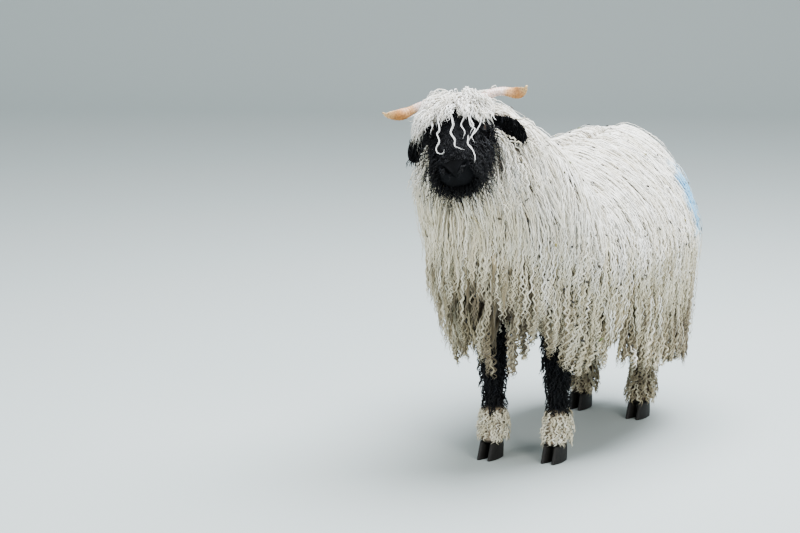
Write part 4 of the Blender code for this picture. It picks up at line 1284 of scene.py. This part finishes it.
# %% [markdown]
# ## From lines to meshes
# A wave winds each line like a loose spring, 22 to 25 mm a turn on the flanks, as on the real animal. Then
# rings are set along it, from a narrow root to a fine tip. A strand's ring is a triangle. A broad lock of
# the under-wool has a ring like a low comb, so that it reads as several strands. The map named OFBake
# puts each lock on a tiny patch at its root's place on the unwrapped skin.

# %% Lock meshes
PATCH = 0.003
STRAND = np.array([(1.0, -0.35), (0.0, 0.80), (-1.0, -0.35)])
COMB = np.array([(1.0, -0.2), (0.5, 0.8), (0.0, 0.1), (-0.5, 0.9), (-1.0, -0.2)])
SHAPE = {"section": STRAND, "root": 0.5, "tip_from": 0.6, "calm": None}


def lock_points(lines, normals, segments, width, thick, turns, wave, phase, shape):
    """Rings of points round each line. turns is how often a lock winds, and wave how wide."""
    weights = spline_weights(segments, lines.shape[1])
    middle = np.einsum("sk,nkd->nsd", weights, lines)
    normal = unit(np.einsum("sk,nkd->nsd", weights, normals))
    t = np.linspace(0, 1, segments)[None, :]
    along = unit(np.gradient(middle, axis=1))
    across = unit(np.cross(along, normal))
    out = np.cross(across, along)
    angle = phase[:, None] + 2 * np.pi * turns[:, None] * t + 0.5 * np.sin(3 * t * np.pi + 5 * phase[:, None])
    reach = wave[:, None] * smooth(t / 0.3) * (1 + 0.25 * np.sin(angle * 0.37))
    if shape["calm"]:
        reach = reach * shape["calm"](middle[..., 2])
    sideways, outwards = reach * np.sin(angle), 0.5 * reach * np.cos(angle)
    middle = middle + across * sideways[..., None] + out * outwards[..., None]
    along = unit(np.gradient(middle, axis=1))
    across = unit(np.cross(along, normal))
    out = np.cross(across, along)
    fine = 1 - 0.94 * smooth((t - shape["tip_from"]) / (1 - shape["tip_from"])) ** 1.3
    full = (shape["root"] + (1 - shape["root"]) * smooth(t / 0.25)) * fine
    half = (width[:, None] / 2 * full)[:, :, None, None]
    tall = (thick[:, None] / 2 * full)[:, :, None, None]
    section = shape["section"]
    flat = across[:, :, None] * half * section[:, :1]
    rings = middle[:, :, None] + flat + out[:, :, None] * tall * section[:, 1:]
    tips = middle[:, -1] + along[:, -1] * width[:, None] * 0.5
    return np.concatenate([rings.reshape(len(lines), -1, 3), tips[:, None]], axis=1), segments, len(section)


def lock_faces(count, segments, corners):
    """Quads round each lock, one face that closes its root, and triangles that close its tip."""
    size = segments * corners + 1
    c = np.arange(corners)
    n = (c + 1) % corners
    ring = np.stack([c, n, n + corners, c + corners], axis=1)
    quads = (np.arange(segments - 1)[:, None, None] * corners + ring).reshape(-1, 4)
    last = (segments - 1) * corners
    tips = np.stack([last + c, last + n, np.full(corners, size - 1)], axis=1)
    start = (np.arange(count) * size)[:, None, None]
    return start + quads, start + tips, start + c[None, None, ::-1]

# %% [markdown]
# ## One mesh from many locks
# Blender is slow with thousands of objects and quick with one big mesh. So every piece of the coat is
# built as a few long arrays of points, corners and faces, and handed over at once.


# %% Coat pieces
def coat_piece(name, batches, material, slot):
    """Joins batches of (points, segments, corners, values, root places on the unwrap) into one mesh."""
    points, loops, starts, maps = [], [], [], []
    values = {"black": [], "tone": [], "soil": [], "dye": []}
    base = used = 0
    for made, segments, corners, given, root_map in batches:
        count, size = made.shape[:2]
        for faces in lock_faces(count, segments, corners):
            faces = faces.reshape(-1, faces.shape[-1]) + base
            loops.append(faces.ravel())
            starts.append(used + np.arange(len(faces)) * faces.shape[-1])
            used += faces.size
        t = np.append(np.repeat(np.linspace(0, 1, segments), corners), 1.0)
        c = np.append(np.tile(np.linspace(0, 1, corners), segments), 0.5)
        patch = np.stack([c - 0.5, t - 0.5], axis=-1) * PATCH
        maps.append((root_map[:, None] + patch[None]).reshape(-1, 2))
        points.append(made.reshape(-1, 3))
        for key in values:
            values[key].append(np.broadcast_to(given[key], (count, size)).ravel())
        base += count * size
    points, loops = np.vstack(points), np.concatenate(loops)
    mesh = bpy.data.meshes.new(name)
    mesh.vertices.add(len(points))
    mesh.vertices.foreach_set("co", points.astype(np.float32).ravel())
    mesh.loops.add(len(loops))
    mesh.loops.foreach_set("vertex_index", loops.astype(np.int32))
    starts = np.concatenate(starts).astype(np.int32)
    mesh.polygons.add(len(starts))
    mesh.polygons.foreach_set("loop_start", starts)
    mesh.update(calc_edges=True)
    bake_map = mesh.uv_layers.new(name="OFBake")
    bake_map.data.foreach_set("uv", np.vstack(maps)[loops].astype(np.float32).ravel())
    paint_points(mesh, **{key: np.concatenate(numbers) for key, numbers in values.items()})
    dress(add_object(name, mesh), material)

# %% [markdown]
# ## Wool
# Wool scatters light inside itself, so white wool has soft, bright shadows, and black wool drinks the light
# and shows only a faint gloss on its curls. The fibres are about 40 microns, too fine to show, so the
# streaks along a lock are drawn 1.6 mm apart.

# %% Wool materials
STREAK_MM = 1.6
WOOL_RAMPS = {
    "clean": ("tone", ((0.0, "#CFC8B9"), (0.35, "#ECE9E1"), (1.0, "#FEFEFD"))),
    # the ramp that browns the wool reads the soiling number, which also holds painted shade for the deeper
    # and lower locks
    "stain_and_shade": ("soil", ((0.0, "#FFFFFF"), (0.30, "#E6E0C9"), (0.65, "#A79C7F"), (1.0, "#6B604B"))),
    "dark": ("tone", ((0.0, "#020203"), (0.8, "#06070A"), (1.0, "#0C0E14"))),
    "shade": ("streak", ((0.30, "#C4BFB5"), (0.62, "#FFFFFF"))),
}


def wool_material(name, roughness, sheen, gloss):
    """Long-staple wool, washed by rain: matt, cream to white, greyed where it is soiled, and darker where
    painted shade is stored with the soiling.
    """
    values = {"Roughness": roughness, "Specular_IOR_Level": gloss, "Sheen_Weight": sheen}
    material, tree, shader = new_material(name, **values)
    read = {}
    for key in ("black", "tone", "soil", "dye"):
        read[key] = add_node(tree, "Attribute", attribute_name=key).outputs["Fac"]
    place = add_node(tree, "TexCoord").outputs["Object"]
    drawn = add_node(tree, "Mapping", {"Vector": place, "Scale": (1.0, 1.0, 0.15)})
    grain = {"Vector": drawn.outputs["Vector"], "Scale": 1000 / STREAK_MM / 2, "Detail": 2.0}
    read["streak"] = add_node(tree, "TexNoise", grain).outputs["Fac"]
    band = {}
    for key, (factor, stops) in WOOL_RAMPS.items():
        band[key] = add_node(tree, "ValToRGB", {"Fac": read[factor]}, stops).outputs["Color"]
    white = add_node(tree, "Mix", {0: 1.0, 6: band["clean"], 7: band["stain_and_shade"]}, **MULTIPLY)
    dyed = add_node(tree, "Mix", {0: read["dye"], 6: white.outputs[2], 7: linear(DYE_BLUE)}, **MIX)
    colour = add_node(tree, "Mix", {0: read["black"], 6: dyed.outputs[2], 7: band["dark"]}, **MIX)
    streaked = add_node(tree, "Mix", {0: 0.4, 6: colour.outputs[2], 7: band["shade"]}, **MULTIPLY)
    tree.links.new(streaked.outputs[2], shader.inputs["Base Color"])
    fine = {"Strength": 0.3, "Distance": 0.0008, "Height": read["streak"]}
    normal = add_node(tree, "Bump", fine)
    tree.links.new(normal.outputs["Normal"], shader.inputs["Normal"])
    return material


long_wool = wool_material("long_wavy_wool", 0.82, 0.15, 0.40)
black_curls = wool_material("short_black_wool", 0.52, 0.0, 0.14)
WHITE_WOOL = (long_wool, "white_fleece")
BLACK_WOOL = (black_curls, "black_wool")

# %% [markdown]
# ## How the fleece hangs
# Wool falls away from a parting along the spine. Its lower edge is ragged, and is parted where the legs
# push through: in front of each fore leg, and behind each elbow. The waves are faint on the back, where
# rain has drawn the wool out, and full from the middle of the flank down.


# %% Hang of the fleece
def swirl(points):
    """Angles by which the fleece's flow turns from straight down, in broad soft patches."""
    return 0.28 * noise(points, 0.16, 14) + 0.14 * noise(points, 0.05, 15)


def lie(point, turn):
    """The way a lock is pulled: down, and away from the parting on the spine."""
    wander = 0.014 * math.sin(point[1] * 19) + 0.009 * math.sin(point[1] * 57)
    side = math.copysign(1.0, point[0] + wander + 0.03 * (point[1] < -0.2))
    flat = float(smooth((point[2] - 0.66) / 0.14))
    down = 1.0 - 0.3 * flat
    trunk = 0.25 + 0.60 * float(smooth((point[1] + 0.25) / 0.15))
    return Vector((side * trunk * flat - turn * 0.5 * (point[1] < -0.35), 0.2 * trunk * flat + turn, -down))


def wave_share(height):
    return 0.35 + 0.65 * smooth((0.76 - height) / 0.26)


def hem_at(points):
    """Height at which the fleece ends below each point."""
    x, y = points[:, 0], points[:, 1]
    front = smooth((-0.16 - y) / 0.10)
    left_leg, right_leg = 0.11 * bump(x - 0.12, 0.040) * front, 0.04 * bump(x + 0.11, 0.035) * front
    elbow = 0.060 * bump(y + 0.10, 0.035) * smooth((np.abs(x) - 0.15) / 0.05)
    return hem_height(y) + (left_leg + right_leg) + elbow


def values_for(points, draw, black=0.0, soil=0.0):
    """Colour numbers for locks. The soiling and the dye follow the place of every point of a lock; the extra
    soil value given is added to the soiling, and in the fleece layers it also holds painted shade.
    """
    count = len(points)
    return {
        "black": np.full((count, 1), black),
        "tone": draw.uniform(0.1, 1.0, (count, 1)),
        "soil": np.clip((soiling(points) + soil) * draw.uniform(0.5, 1.35, (count, 1)), 0, 1),
        "dye": dye(points) * draw.uniform(0.7, 1.0, (count, 1)),
    }

# %% [markdown]
# ## The long fleece
# The fleece is laid in layers from the inside out: broad under-wool, so that no skin shows, then fine
# strands on the back, longer ropes on the flanks, and the longest, with the strongest waves, round the
# skirt. A few loose strands stand off the fleece, because a real outline is never clean. One function lays
# any of them.


# %% Fleece layers
# how much darker a fleece lock is painted for each 20 mm that it lies deeper: painted shade, as in the
# hollows between the ropes
INNER_PAINTED_SHADE = 0.55
SHORTEST_LOCK = 0.04


def two_arrays(made):
    """The lines and the normals of all locks, each as one array."""
    return (np.array([m[k] for m in made], float) for k in (0, 1))


def body_layer(name, low, high, spacing, segments, seed, size, clump=(0.03, 0.0), shape=SHAPE):
    """One layer of the fleece between two heights, as a left and a right piece. size holds millimetres.

    short is how far above the hem it ends, deeper how far the lower locks sink in, clump (spacing, share).
    """
    draw = np.random.RandomState(seed)
    chosen = np.flatnonzero((places[:, 2] > low) & (places[:, 2] < high))
    chosen = chosen[spread(places[chosen], spacing, seed)]
    roots = places[chosen]
    ragged = 0.028 * noise(roots, 0.06, 8) + draw.uniform(-0.022, 0.012, len(roots))
    room = np.maximum(roots[:, 2] - hem_at(roots) + ragged - size["short"] / 1000, 0.0)
    lengths = np.minimum(size["length"] / 1000 * draw.uniform(0.75, 1.25, len(roots)), room * 1.04)
    long_enough = lengths > SHORTEST_LOCK
    chosen, roots, lengths = chosen[long_enough], roots[long_enough], lengths[long_enough]
    count = len(roots)
    depths = draw.uniform(size["depth"][0], size["depth"][1], count) / 1000
    depths += size["deeper"] / 1000 * smooth((0.66 - roots[:, 2]) / 0.26)
    turns = swirl(roots) + draw.normal(0, 0.10, count)
    made = []
    for p, n, length, depth, turn in zip(roots, facing[chosen], lengths, depths, turns):
        made.append(hang(p, n, length, depth, size["sunk"] / 1000, lie(p, turn)))
    lines, normals = two_arrays(made)
    lines, owner = gather(lines, roots, clump[0], clump[1], seed)
    phase = draw.uniform(0, 2 * np.pi, count)[owner] + draw.normal(0, 0.45, count)
    wound = lengths * 1000 / size["wavelength"] * draw.uniform(0.8, 1.25, count)[owner]
    scale = draw.uniform(0.65, 1.3, count) / 1000
    wave = size["wave"] * draw.uniform(0.6, 1.35, count) / 1000
    points, segments, corners = lock_points(
        lines, normals, segments, size["width"] * scale, size["thick"] * scale, wound, wave, phase, shape
    )
    # each lock's colour number: the layer's soil value, a random share per staple, and painted shade that
    # grows with the lock's depth; low_down keeps all of it to the lower fleece, darker towards the bottom
    deep = size["soil"] + 0.14 * draw.normal(0, 1, count)[owner] + INNER_PAINTED_SHADE * np.maximum(depths, 0) / 0.020
    low_down = smooth((0.66 - points[..., 2]) / 0.26)
    values = values_for(points, draw, soil=deep[:, None] * low_down)
    for side, word in SIDES:
        on = (roots[:, 0] >= 0) == (side > 0)
        given = {key: numbers[on] for key, numbers in values.items()}
        batch = (points[on], segments, corners, given, place_maps[chosen][on])
        coat_piece(name + "_" + word, [batch], *WHITE_WOOL)
    print("%s: %d locks" % (name, count))

# %% [markdown]
# ## Five layers
# The sizes are in millimetres. The under-wool is combs 17 mm wide, and the strands outside it are 4 to 5 mm,
# about what one wet lock of this wool measures.

# %% Five layers
# the under-wool's soil value of 0.95 is partly real staining at the wool's base and partly painted shade, so
# that the gaps between the ropes read dark
under = {
    "length": 120, "width": 17, "thick": 8, "wave": 3, "wavelength": 60, "depth": (9, 15), "sunk": 24,
    "short": 55, "deeper": 30, "soil": 0.95,
}
back_wool = {
    "length": 105, "width": 4.4, "thick": 4.0, "wave": 3.0, "wavelength": 27, "depth": (0, 8), "sunk": 15,
    "short": 0, "deeper": 0, "soil": 0.0,
}
flank_wool = dict(back_wool, length=130, wave=4.2, wavelength=25, depth=(0, 12), thick=4.6)
skirt_wool = dict(flank_wool, length=150, wave=5.8, wavelength=22, depth=(0, 26), width=5.2, thick=5.0)
stray_wool = dict(
    flank_wool, length=70, width=1.8, thick=1.8, wave=4.0, wavelength=20, depth=(-8, -2), sunk=8
)
combs = dict(SHAPE, section=COMB, root=0.8, tip_from=0.35)
waved = dict(SHAPE, calm=wave_share)
body_layer("under_wool", 0.30, 1.2, 0.0225, 7, 31, under, shape=combs)
body_layer("back_wool", 0.68, 1.2, 0.0108, 10, 41, back_wool, (0.030, 0.40), dict(waved, tip_from=0.5))
body_layer("flank_wool", 0.44, 0.72, 0.0124, 19, 51, flank_wool, (0.030, 0.66), waved)
body_layer("skirt_wool", 0.24, 0.52, 0.0130, 24, 61, skirt_wool, (0.032, 0.80), waved)
body_layer("stray_wool", 0.30, 1.2, 0.0420, 10, 67, stray_wool, (0.010, 0.0), waved)

# %% [markdown]
# ## Draped locks
# On the head, legs and tail the wool is shorter and grows from the skin itself. A lock leaves the skin,
# bends over with gravity, and is pushed back out wherever it would sink into the skin, so it drapes over
# the brow, the ears and the feet by itself.


# %% Draped locks
def drape(root, length, depth, lift, flow, weight, steps):
    """The middle line of one lock that grows from the skin. flow is the way the hair is combed."""
    here = Vector(root)
    _, n, _, _ = SKIN.find_nearest(here)
    line, normals = [here - n * 0.003], [n]
    heading = (n * lift + flow).normalized()
    stride = length / steps
    for k in range(1, steps + 1):
        here = here + heading * stride
        place, n, _, _ = SKIN.find_nearest(here)
        wanted = depth * min(1.0, 2.2 * k / steps)
        gap = (here - place).dot(n)
        if gap < wanted:
            here = here + n * (wanted - gap)
            heading = heading - n * min(heading.dot(n), 0.0)
        heading = (heading + Vector((0, 0, -weight)) + flow * 0.08).normalized()
        line.append(here)
        normals.append(n)
    return line, normals


def draped_layer(name, groups, wool):
    """One coat piece from several groups of draped locks. Each group is a dictionary of its sizes in mm."""
    batches = []
    for number, g in enumerate(groups):
        draw = np.random.RandomState(g["seed"])
        roots = g["roots"][spread(g["roots"], g["spacing"] / 1000, g["seed"])]
        count = len(roots)
        lengths = g["length"] / 1000 * draw.uniform(0.7, 1.25, count) * g["reach"](roots)
        depths = draw.uniform(g["depth"][0], g["depth"][1], count) / 1000 * g["full"](roots)
        flows = g["flow"](roots) + draw.normal(0, g["stray"], (count, 3))
        made = []
        for p, length, depth, way in zip(roots, lengths, depths, flows):
            made.append(drape(p, length, depth, g["lift"], Vector(way), g["weight"], 6))
        lines, normals = two_arrays(made)
        lines, owner = gather(lines, roots, g["clump"][0], g["clump"][1], g["seed"])
        wide = g["width"] * draw.uniform(0.7, 1.3, count) / 1000
        wound = lengths * 1000 / g["wavelength"] * draw.uniform(0.8, 1.2, count)
        wave = g["wave"] * draw.uniform(0.5, 1.3, count) / 1000
        phase = draw.uniform(0, 2 * np.pi, count)[owner] + draw.normal(0, 0.5, count)
        batch = lock_points(lines, normals, g["segments"], wide, wide * 0.85, wound, wave, phase, SHAPE)
        batches.append((*batch, values_for(batch[0], draw, g["black"], g["soil"]), g["map"](roots)))
        print("%s, group %d: %d locks" % (name, number, count))
    coat_piece(name, batches, *wool)


def full_length(roots):
    return np.ones(len(roots))


def bare_roots(name):
    """The places on one part that are still on the outside of the fused skin."""
    roots = part_roots[name]
    return roots[np.array([SKIN.find_nearest(p)[3] < 0.0006 for p in roots])]

# %% [markdown]
# ## Where the head's wool grows
# White wool covers the crown and falls over the brow in a wavy fringe, and hangs on the cheeks below the
# ears. The face is black: short curls round the eyes and along the jaw, and a fine nap on the bridge of
# the nose. So the roots on the head are sorted by their place along it and round it.

# %% Head roots
FORWARD = np.array(HEAD_FRAME.to_3x3() @ Vector((0, -1, 0)))
LEFT = np.array(HEAD_FRAME.to_3x3() @ Vector((1, 0, 0)))


def head_place(points):
    """Share of the head's length, angle from the crown (positive on her left), and the local points."""
    local = moved(points, WORLD_TO_HEAD)
    f = -local[:, 1] / HEAD_LENGTH
    rows = through(HEAD_STATIONS, np.clip(f, 0, 1))
    return f, np.degrees(np.arctan2(local[:, 0], local[:, 2] - (rows[:, 1] + rows[:, 2]) / 2)), local


def head_map(points):
    f, angle, _ = head_place(points)
    return np.stack([0.25 + 0.23 * angle / 180, 0.52 + 0.44 * np.clip(f, 0, 1)], axis=-1)


def ear_distance(local):
    """How far each point, in the head's frame, lies from the root of the nearer ear."""
    return np.linalg.norm(np.abs(local) * (1, 0, 0) + local * (0, 1, 1) - EAR_ROOT, axis=1)


def comb_crown(roots):
    """Forward over the brow and outwards from the parting."""
    _, angle, _ = head_place(roots)
    return 0.55 * FORWARD + np.sin(np.radians(angle))[:, None] * LEFT * 0.6


def comb_cheek(roots):
    return np.zeros((len(roots), 3)) + 0.15 * FORWARD


def comb_face(roots):
    """Down the face towards the nose and round to the jaw."""
    _, angle, _ = head_place(roots)
    return 0.7 * FORWARD + np.sin(np.radians(angle))[:, None] * LEFT * 0.35 - np.array((0, 0, 0.2))


head_roots = bare_roots("head")
f_of, angle_of, local_of = head_place(head_roots)
side_angle = np.abs(angle_of)
is_black = blackness(head_roots) > 0.5
eye_gap = np.min([np.linalg.norm(local_of - eye_centre(side), axis=1) for side in (-1, 1)], axis=0)
ear_gap = ear_distance(local_of)
print("head: %d places, %d of them black" % (len(head_roots), is_black.sum()))

# %% [markdown]
# ## Crown and cheeks
# The crown's wool is the finest on the animal. It is laid thickly, parted a little in the middle, and the
# fringe over the brow is left long enough to hang into the face.


# %% Crown and cheek wool
def crown_reach(roots):
    """Shorter locks near the horns and the ears, so that these stay free."""
    f, angle, _ = head_place(roots)
    by_horn = 1 - 0.55 * smooth((np.abs(angle) - 48) / 24) * smooth((0.40 - f) / 0.1)
    return by_horn * (1 - 0.42 * smooth((angle - 16) / 16))


def crown_full(roots):
    """The wool stands thicker on the right half of her crown, with a dip at the parting."""
    _, angle, _ = head_place(roots)
    return 1 + 0.55 * bump(angle + 30, 20) - 0.20 * bump(angle + 2, 10) + 0.30 * bump(angle - 60, 18)


crown = {
    "roots": head_roots[~is_black & (f_of < 0.42) & (side_angle < 74)], "spacing": 3.9, "length": 70,
    "reach": crown_reach, "full": crown_full, "depth": (6, 36), "lift": 0.5, "flow": comb_crown,
    "stray": 0.12, "weight": 0.50, "width": 3.4, "segments": 17, "wavelength": 18, "wave": 3.0,
    "clump": (0.020, 0.45), "seed": 71, "map": head_map, "black": 0.0, "soil": -0.04,
}
cheek = dict(
    crown, roots=head_roots[~is_black & (f_of < 0.50) & (side_angle >= 97) & (ear_gap > 0.042)], spacing=4.8,
    length=66, reach=full_length, full=full_length, lift=1.3, weight=0.55, depth=(6, 22), flow=comb_cheek,
    seed=72, soil=0.05, wavelength=15,
)
draped_layer("crown_wool", [crown, cheek], WHITE_WOOL)

# %% [markdown]
# ## The black face
# Tight curls cover the cheeks, and longer ones hang as a fringe from the jaw. The nose's bridge has hair
# only 11 mm long, lying flat, and the eye is left open in a ring of short hair.

# %% Face curls
def near_ear_short(roots):
    """Short curls round the ear's root, so that the ear hangs free."""
    return 0.35 + 0.65 * smooth((ear_distance(moved(roots, WORLD_TO_HEAD)) - 0.025) / 0.04)


curls = {
    "roots": head_roots[is_black & (f_of < 0.97) & (side_angle > 50) & (eye_gap > 0.021)], "spacing": 5.0,
    "length": 40, "reach": near_ear_short, "full": full_length, "depth": (3, 16), "lift": 1.3,
    "flow": comb_face, "stray": 0.35, "weight": 0.5, "width": 2.6, "segments": 15, "wavelength": 12,
    "wave": 3.4, "clump": (0.014, 0.5), "seed": 73, "map": head_map, "black": 1.0, "soil": 0.0,
}
nap = dict(
    curls, roots=head_roots[is_black & (side_angle <= 55) & (eye_gap > 0.0165) & (f_of < 0.93)], spacing=3.6,
    length=11, depth=(0.4, 1.5), lift=0.4, weight=0.12, width=1.8, segments=5, wavelength=10, wave=1.0,
    seed=74,
)
jaw = dict(
    curls, roots=head_roots[is_black & (side_angle > 108) & (f_of > 0.40) & (f_of < 0.985)], spacing=6.4,
    length=42, lift=1.0, weight=0.8, segments=20, seed=75, depth=(6, 18), width=2.2, wave=3.2,
    clump=(0.016, 0.6),
)
fringe = dict(
    curls, roots=head_roots[is_black & (side_angle > 66) & (f_of > 0.36) & (f_of < 0.95)], spacing=11.5,
    length=84, lift=1.7, flow=comb_cheek, weight=0.55, segments=28, seed=76, depth=(14, 34), width=1.9,
    wave=4.2, wavelength=13, clump=(0.012, 0.3), stray=0.5,
)
draped_layer("face_curls", [curls, nap, jaw], BLACK_WOOL)
draped_layer("face_fringe", [fringe], BLACK_WOOL)

# %% [markdown]
# ## Forelock
# A few long, wavy wisps have come loose from the crown and hang over the black face, where each one shows.
# They are too few to leave to chance, so each has its own path, in the head's own frame.

# %% Forelock
# places in the head's frame, in millimetres
FORELOCK = [
    [(-33, -110, 81), (-33, -142, 73), (-28, -174, 63), (-36, -182, 57), (-28, -207, 51), (-38, -221, 43),
     (-35, -234, 36), (-20, -241, 36), (-16, -230, 41)],
    [(-2, -90, 85), (-1, -127, 78), (7, -166, 67), (1, -189, 60), (11, -211, 52), (11, -229, 45),
     (21, -234, 40), (35, -238, 34)],
    [(72, -90, 60), (74, -118, 51), (69, -154, 43), (60, -177, 41), (50, -196, 41), (42, -216, 39)],
    [(40, -100, 78), (43, -130, 72), (49, -167, 57), (58, -173, 46), (50, -196, 41), (57, -209, 30)],
    [(44, -203, 49), (43, -224, 41), (51, -233, 30), (56, -246, 14), (51, -257, 2)],
    [(26, -90, 83), (28, -118, 77), (34, -146, 69), (26, -169, 62), (35, -188, 53), (31, -209, 47)],
    [(50, -90, 75), (53, -120, 68), (47, -145, 64), (55, -168, 54), (47, -190, 47)],
    [(62, -85, 68), (66, -112, 62), (60, -134, 60), (68, -152, 50)],
    [(-52, -100, 72), (-56, -125, 66), (-50, -148, 61), (-57, -168, 50)],
]
WISP_KNOTS = 30
WISP_SEGMENTS = 40
WISP_STRANDS = 4


def forelock():
    """Each path becomes four strands that lie side by side and part towards the tip."""
    draw = np.random.RandomState(77)
    lines = []
    for path in FORELOCK:
        rows = [(k, *np.divide(point, 1000)) for k, point in enumerate(path)]
        steps = through(rows, np.linspace(0, len(path) - 1, WISP_KNOTS))
        for _ in range(WISP_STRANDS):
            aside = draw.normal(0, 0.0009, 3) * np.linspace(1.8, 0.6, WISP_KNOTS)[:, None]
            lines.append(moved(steps + aside, HEAD_TO_WORLD))
    lines = np.array(lines)
    count = len(lines)
    out = HEAD_TO_WORLD[:3, :3] @ unit(np.array((0.0, -0.45, 1.0)))
    normals = np.broadcast_to(out, lines.shape)
    width = draw.uniform(0.0008, 0.0013, count)
    winds = draw.uniform(2.0, 4.0, count)
    batch = lock_points(lines, normals, WISP_SEGMENTS, width, width, winds, width * 0.5, winds, SHAPE)
    given = values_for(batch[0], draw, soil=-1.0)
    given["tone"] = draw.uniform(0.7, 1.0, (count, 1))
    coat_piece("forelock_wisps", [(*batch, given, head_map(lines[:, 0]))], *WHITE_WOOL)


forelock()

# %% [markdown]
# ## Throat
# Under the jaw the neck's fleece turns in to the skin, so white locks grow there from the skin itself and
# fill the space behind the black fringe.

# %% Throat wool
def neck_map(points):
    return np.stack([0.75 + points[:, 0], points[:, 2] - 0.5], axis=-1)


throat_roots = bare_roots("neck")
_, _, throat_local = head_place(throat_roots)
under_jaw = (throat_local[:, 2] < -0.05) & (throat_local[:, 2] > -0.22) & (throat_local[:, 1] < -0.02)
throat = dict(
    crown, roots=throat_roots[under_jaw & (np.abs(throat_local[:, 0]) < 0.12)], spacing=8.0, length=95,
    reach=full_length, full=full_length, depth=(30, 62), lift=1.6, weight=0.5, flow=comb_cheek, seed=78,
    soil=0.05, width=4.2, wavelength=20, wave=3.6, map=neck_map,
)
draped_layer("throat_wool", [throat], WHITE_WOOL)

# %% [markdown]
# ## Wool of ears, legs and tail
# Black fur fringes the ears. Curly black wool covers the knees and hocks, and white wool hangs below them
# like a loose stocking, down onto the hooves. The tail's locks are the longest of these.


# %% Wool of ears, legs and tail
def down_hill(roots):
    return np.zeros((len(roots), 3)) + np.array((0, 0, -0.35))


def leg_map(points):
    return np.stack([0.55 + 0.40 * (points[:, 0] + 0.15) / 0.3, 0.55 + 0.35 * points[:, 2]], axis=-1)


def above_hoof(roots):
    """Locks that start low are shorter, so that they end on the hoof."""
    return np.clip((roots[:, 2] - 0.022) / 0.055, 0.30, 1.0)


ear_fur = dict(
    curls, spacing=4.8, length=23, depth=(0.6, 4.0), lift=0.6, flow=down_hill, stray=0.25, weight=0.35,
    width=2.3, segments=6, wavelength=16, wave=1.2,
)
ears = [dict(ear_fur, roots=bare_roots("ear_" + word), seed=81 + k) for k, (_, word) in enumerate(SIDES)]
draped_layer("ear_fur", ears, BLACK_WOOL)

leg_curl = dict(
    curls, spacing=7.0, length=28, depth=(1, 7), lift=0.7, flow=down_hill, stray=0.35, weight=0.7, width=3.6,
    segments=11, wavelength=13, wave=2.6, map=leg_map,
)
stocking = dict(
    leg_curl, length=38, depth=(2, 13), width=5.0, segments=12, wavelength=14, wave=4.4, lift=1.1, black=0.0,
    reach=above_hoof, clump=(0.016, 0.5),
)
black_groups, white_groups = [], []
for number, (name, _, _, _) in enumerate(LEGS):
    roots = bare_roots(name)
    dark = blackness(roots) > 0.5
    shown = (roots[:, 2] < (0.38 if name.startswith("fore") else 0.30)) & (roots[:, 2] > 0.060)
    black_groups.append(dict(leg_curl, roots=roots[dark & shown], seed=91 + number))
    grey = -0.08 if name.startswith("fore") else -0.30
    white_groups.append(dict(stocking, roots=roots[~dark & shown], seed=95 + number, soil=grey))
draped_layer("knee_and_hock_curls", black_groups, BLACK_WOOL)
white_groups.append(dict(
    stocking, roots=bare_roots("tail"), spacing=9, length=85, reach=full_length, depth=(4, 18), width=4.4,
    segments=20, wavelength=24, lift=1.0, weight=0.6, soil=0.1, seed=99,
))
draped_layer("stocking_and_tail_wool", white_groups, WHITE_WOOL)

# %% [markdown]
# ## Bits caught in the wool
# A ewe that lives outdoors carries seeds, husks and scraps of leaf in her fleece. Dark specks are scattered
# over it, and about one in eight is a longer stalk.


# %% Caught bits
HUSK_SPACING = 0.050
HUSK_SHARE = 0.5
STALK_SHARE = 0.12
ABOVE_HEM = 0.06
ON_TOP = 0.0045


def husk_material():
    """Dry plant scraps, withered in the sun: matt, from near black to straw."""
    material, tree, shader = new_material("withered_husk", Roughness=0.8)
    tone = add_node(tree, "Attribute", attribute_name="tone").outputs["Fac"]
    dry = ((0.0, "#15120E"), (0.6, "#33291A"), (0.8, "#4F5A24"), (1.0, "#8A7B3E"))
    colour = add_node(tree, "ValToRGB", {"Fac": tone}, dry)
    tree.links.new(colour.outputs["Color"], shader.inputs["Base Color"])
    return material


def caught_bits():
    draw = np.random.RandomState(88)
    chosen = spread(places, HUSK_SPACING, 88)
    held = places[chosen][:, 2] > hem_at(places[chosen]) + ABOVE_HEM
    chosen = chosen[held & (draw.uniform(0, 1, len(chosen)) < HUSK_SHARE)]
    out = facing[chosen]
    count = len(chosen)
    way = unit(np.cross(out, draw.normal(0, 1, (count, 3))))
    stalk = draw.uniform(0, 1, count) < STALK_SHARE
    length = np.where(stalk, draw.uniform(0.025, 0.045, count), draw.uniform(0.007, 0.017, count))
    step = np.linspace(-0.5, 0.5, 4)[None, :, None] * length[:, None, None]
    lines = (places[chosen] + out * ON_TOP)[:, None] + way[:, None] * step
    wide = np.where(stalk, 0.0016, draw.uniform(0.0036, 0.0085, count))
    still = np.zeros(count)
    normals = np.broadcast_to(out[:, None], lines.shape)
    batch = lock_points(lines, normals, 5, wide, wide * 0.6, still, still, still, SHAPE)
    given = values_for(batch[0], draw)
    given["tone"] = np.where(stalk, 1.0, draw.uniform(0, 1, count) ** 2)[:, None]
    coat_piece("caught_husks", [(*batch, given, place_maps[chosen])], husk_material(), "white_fleece")


caught_bits()
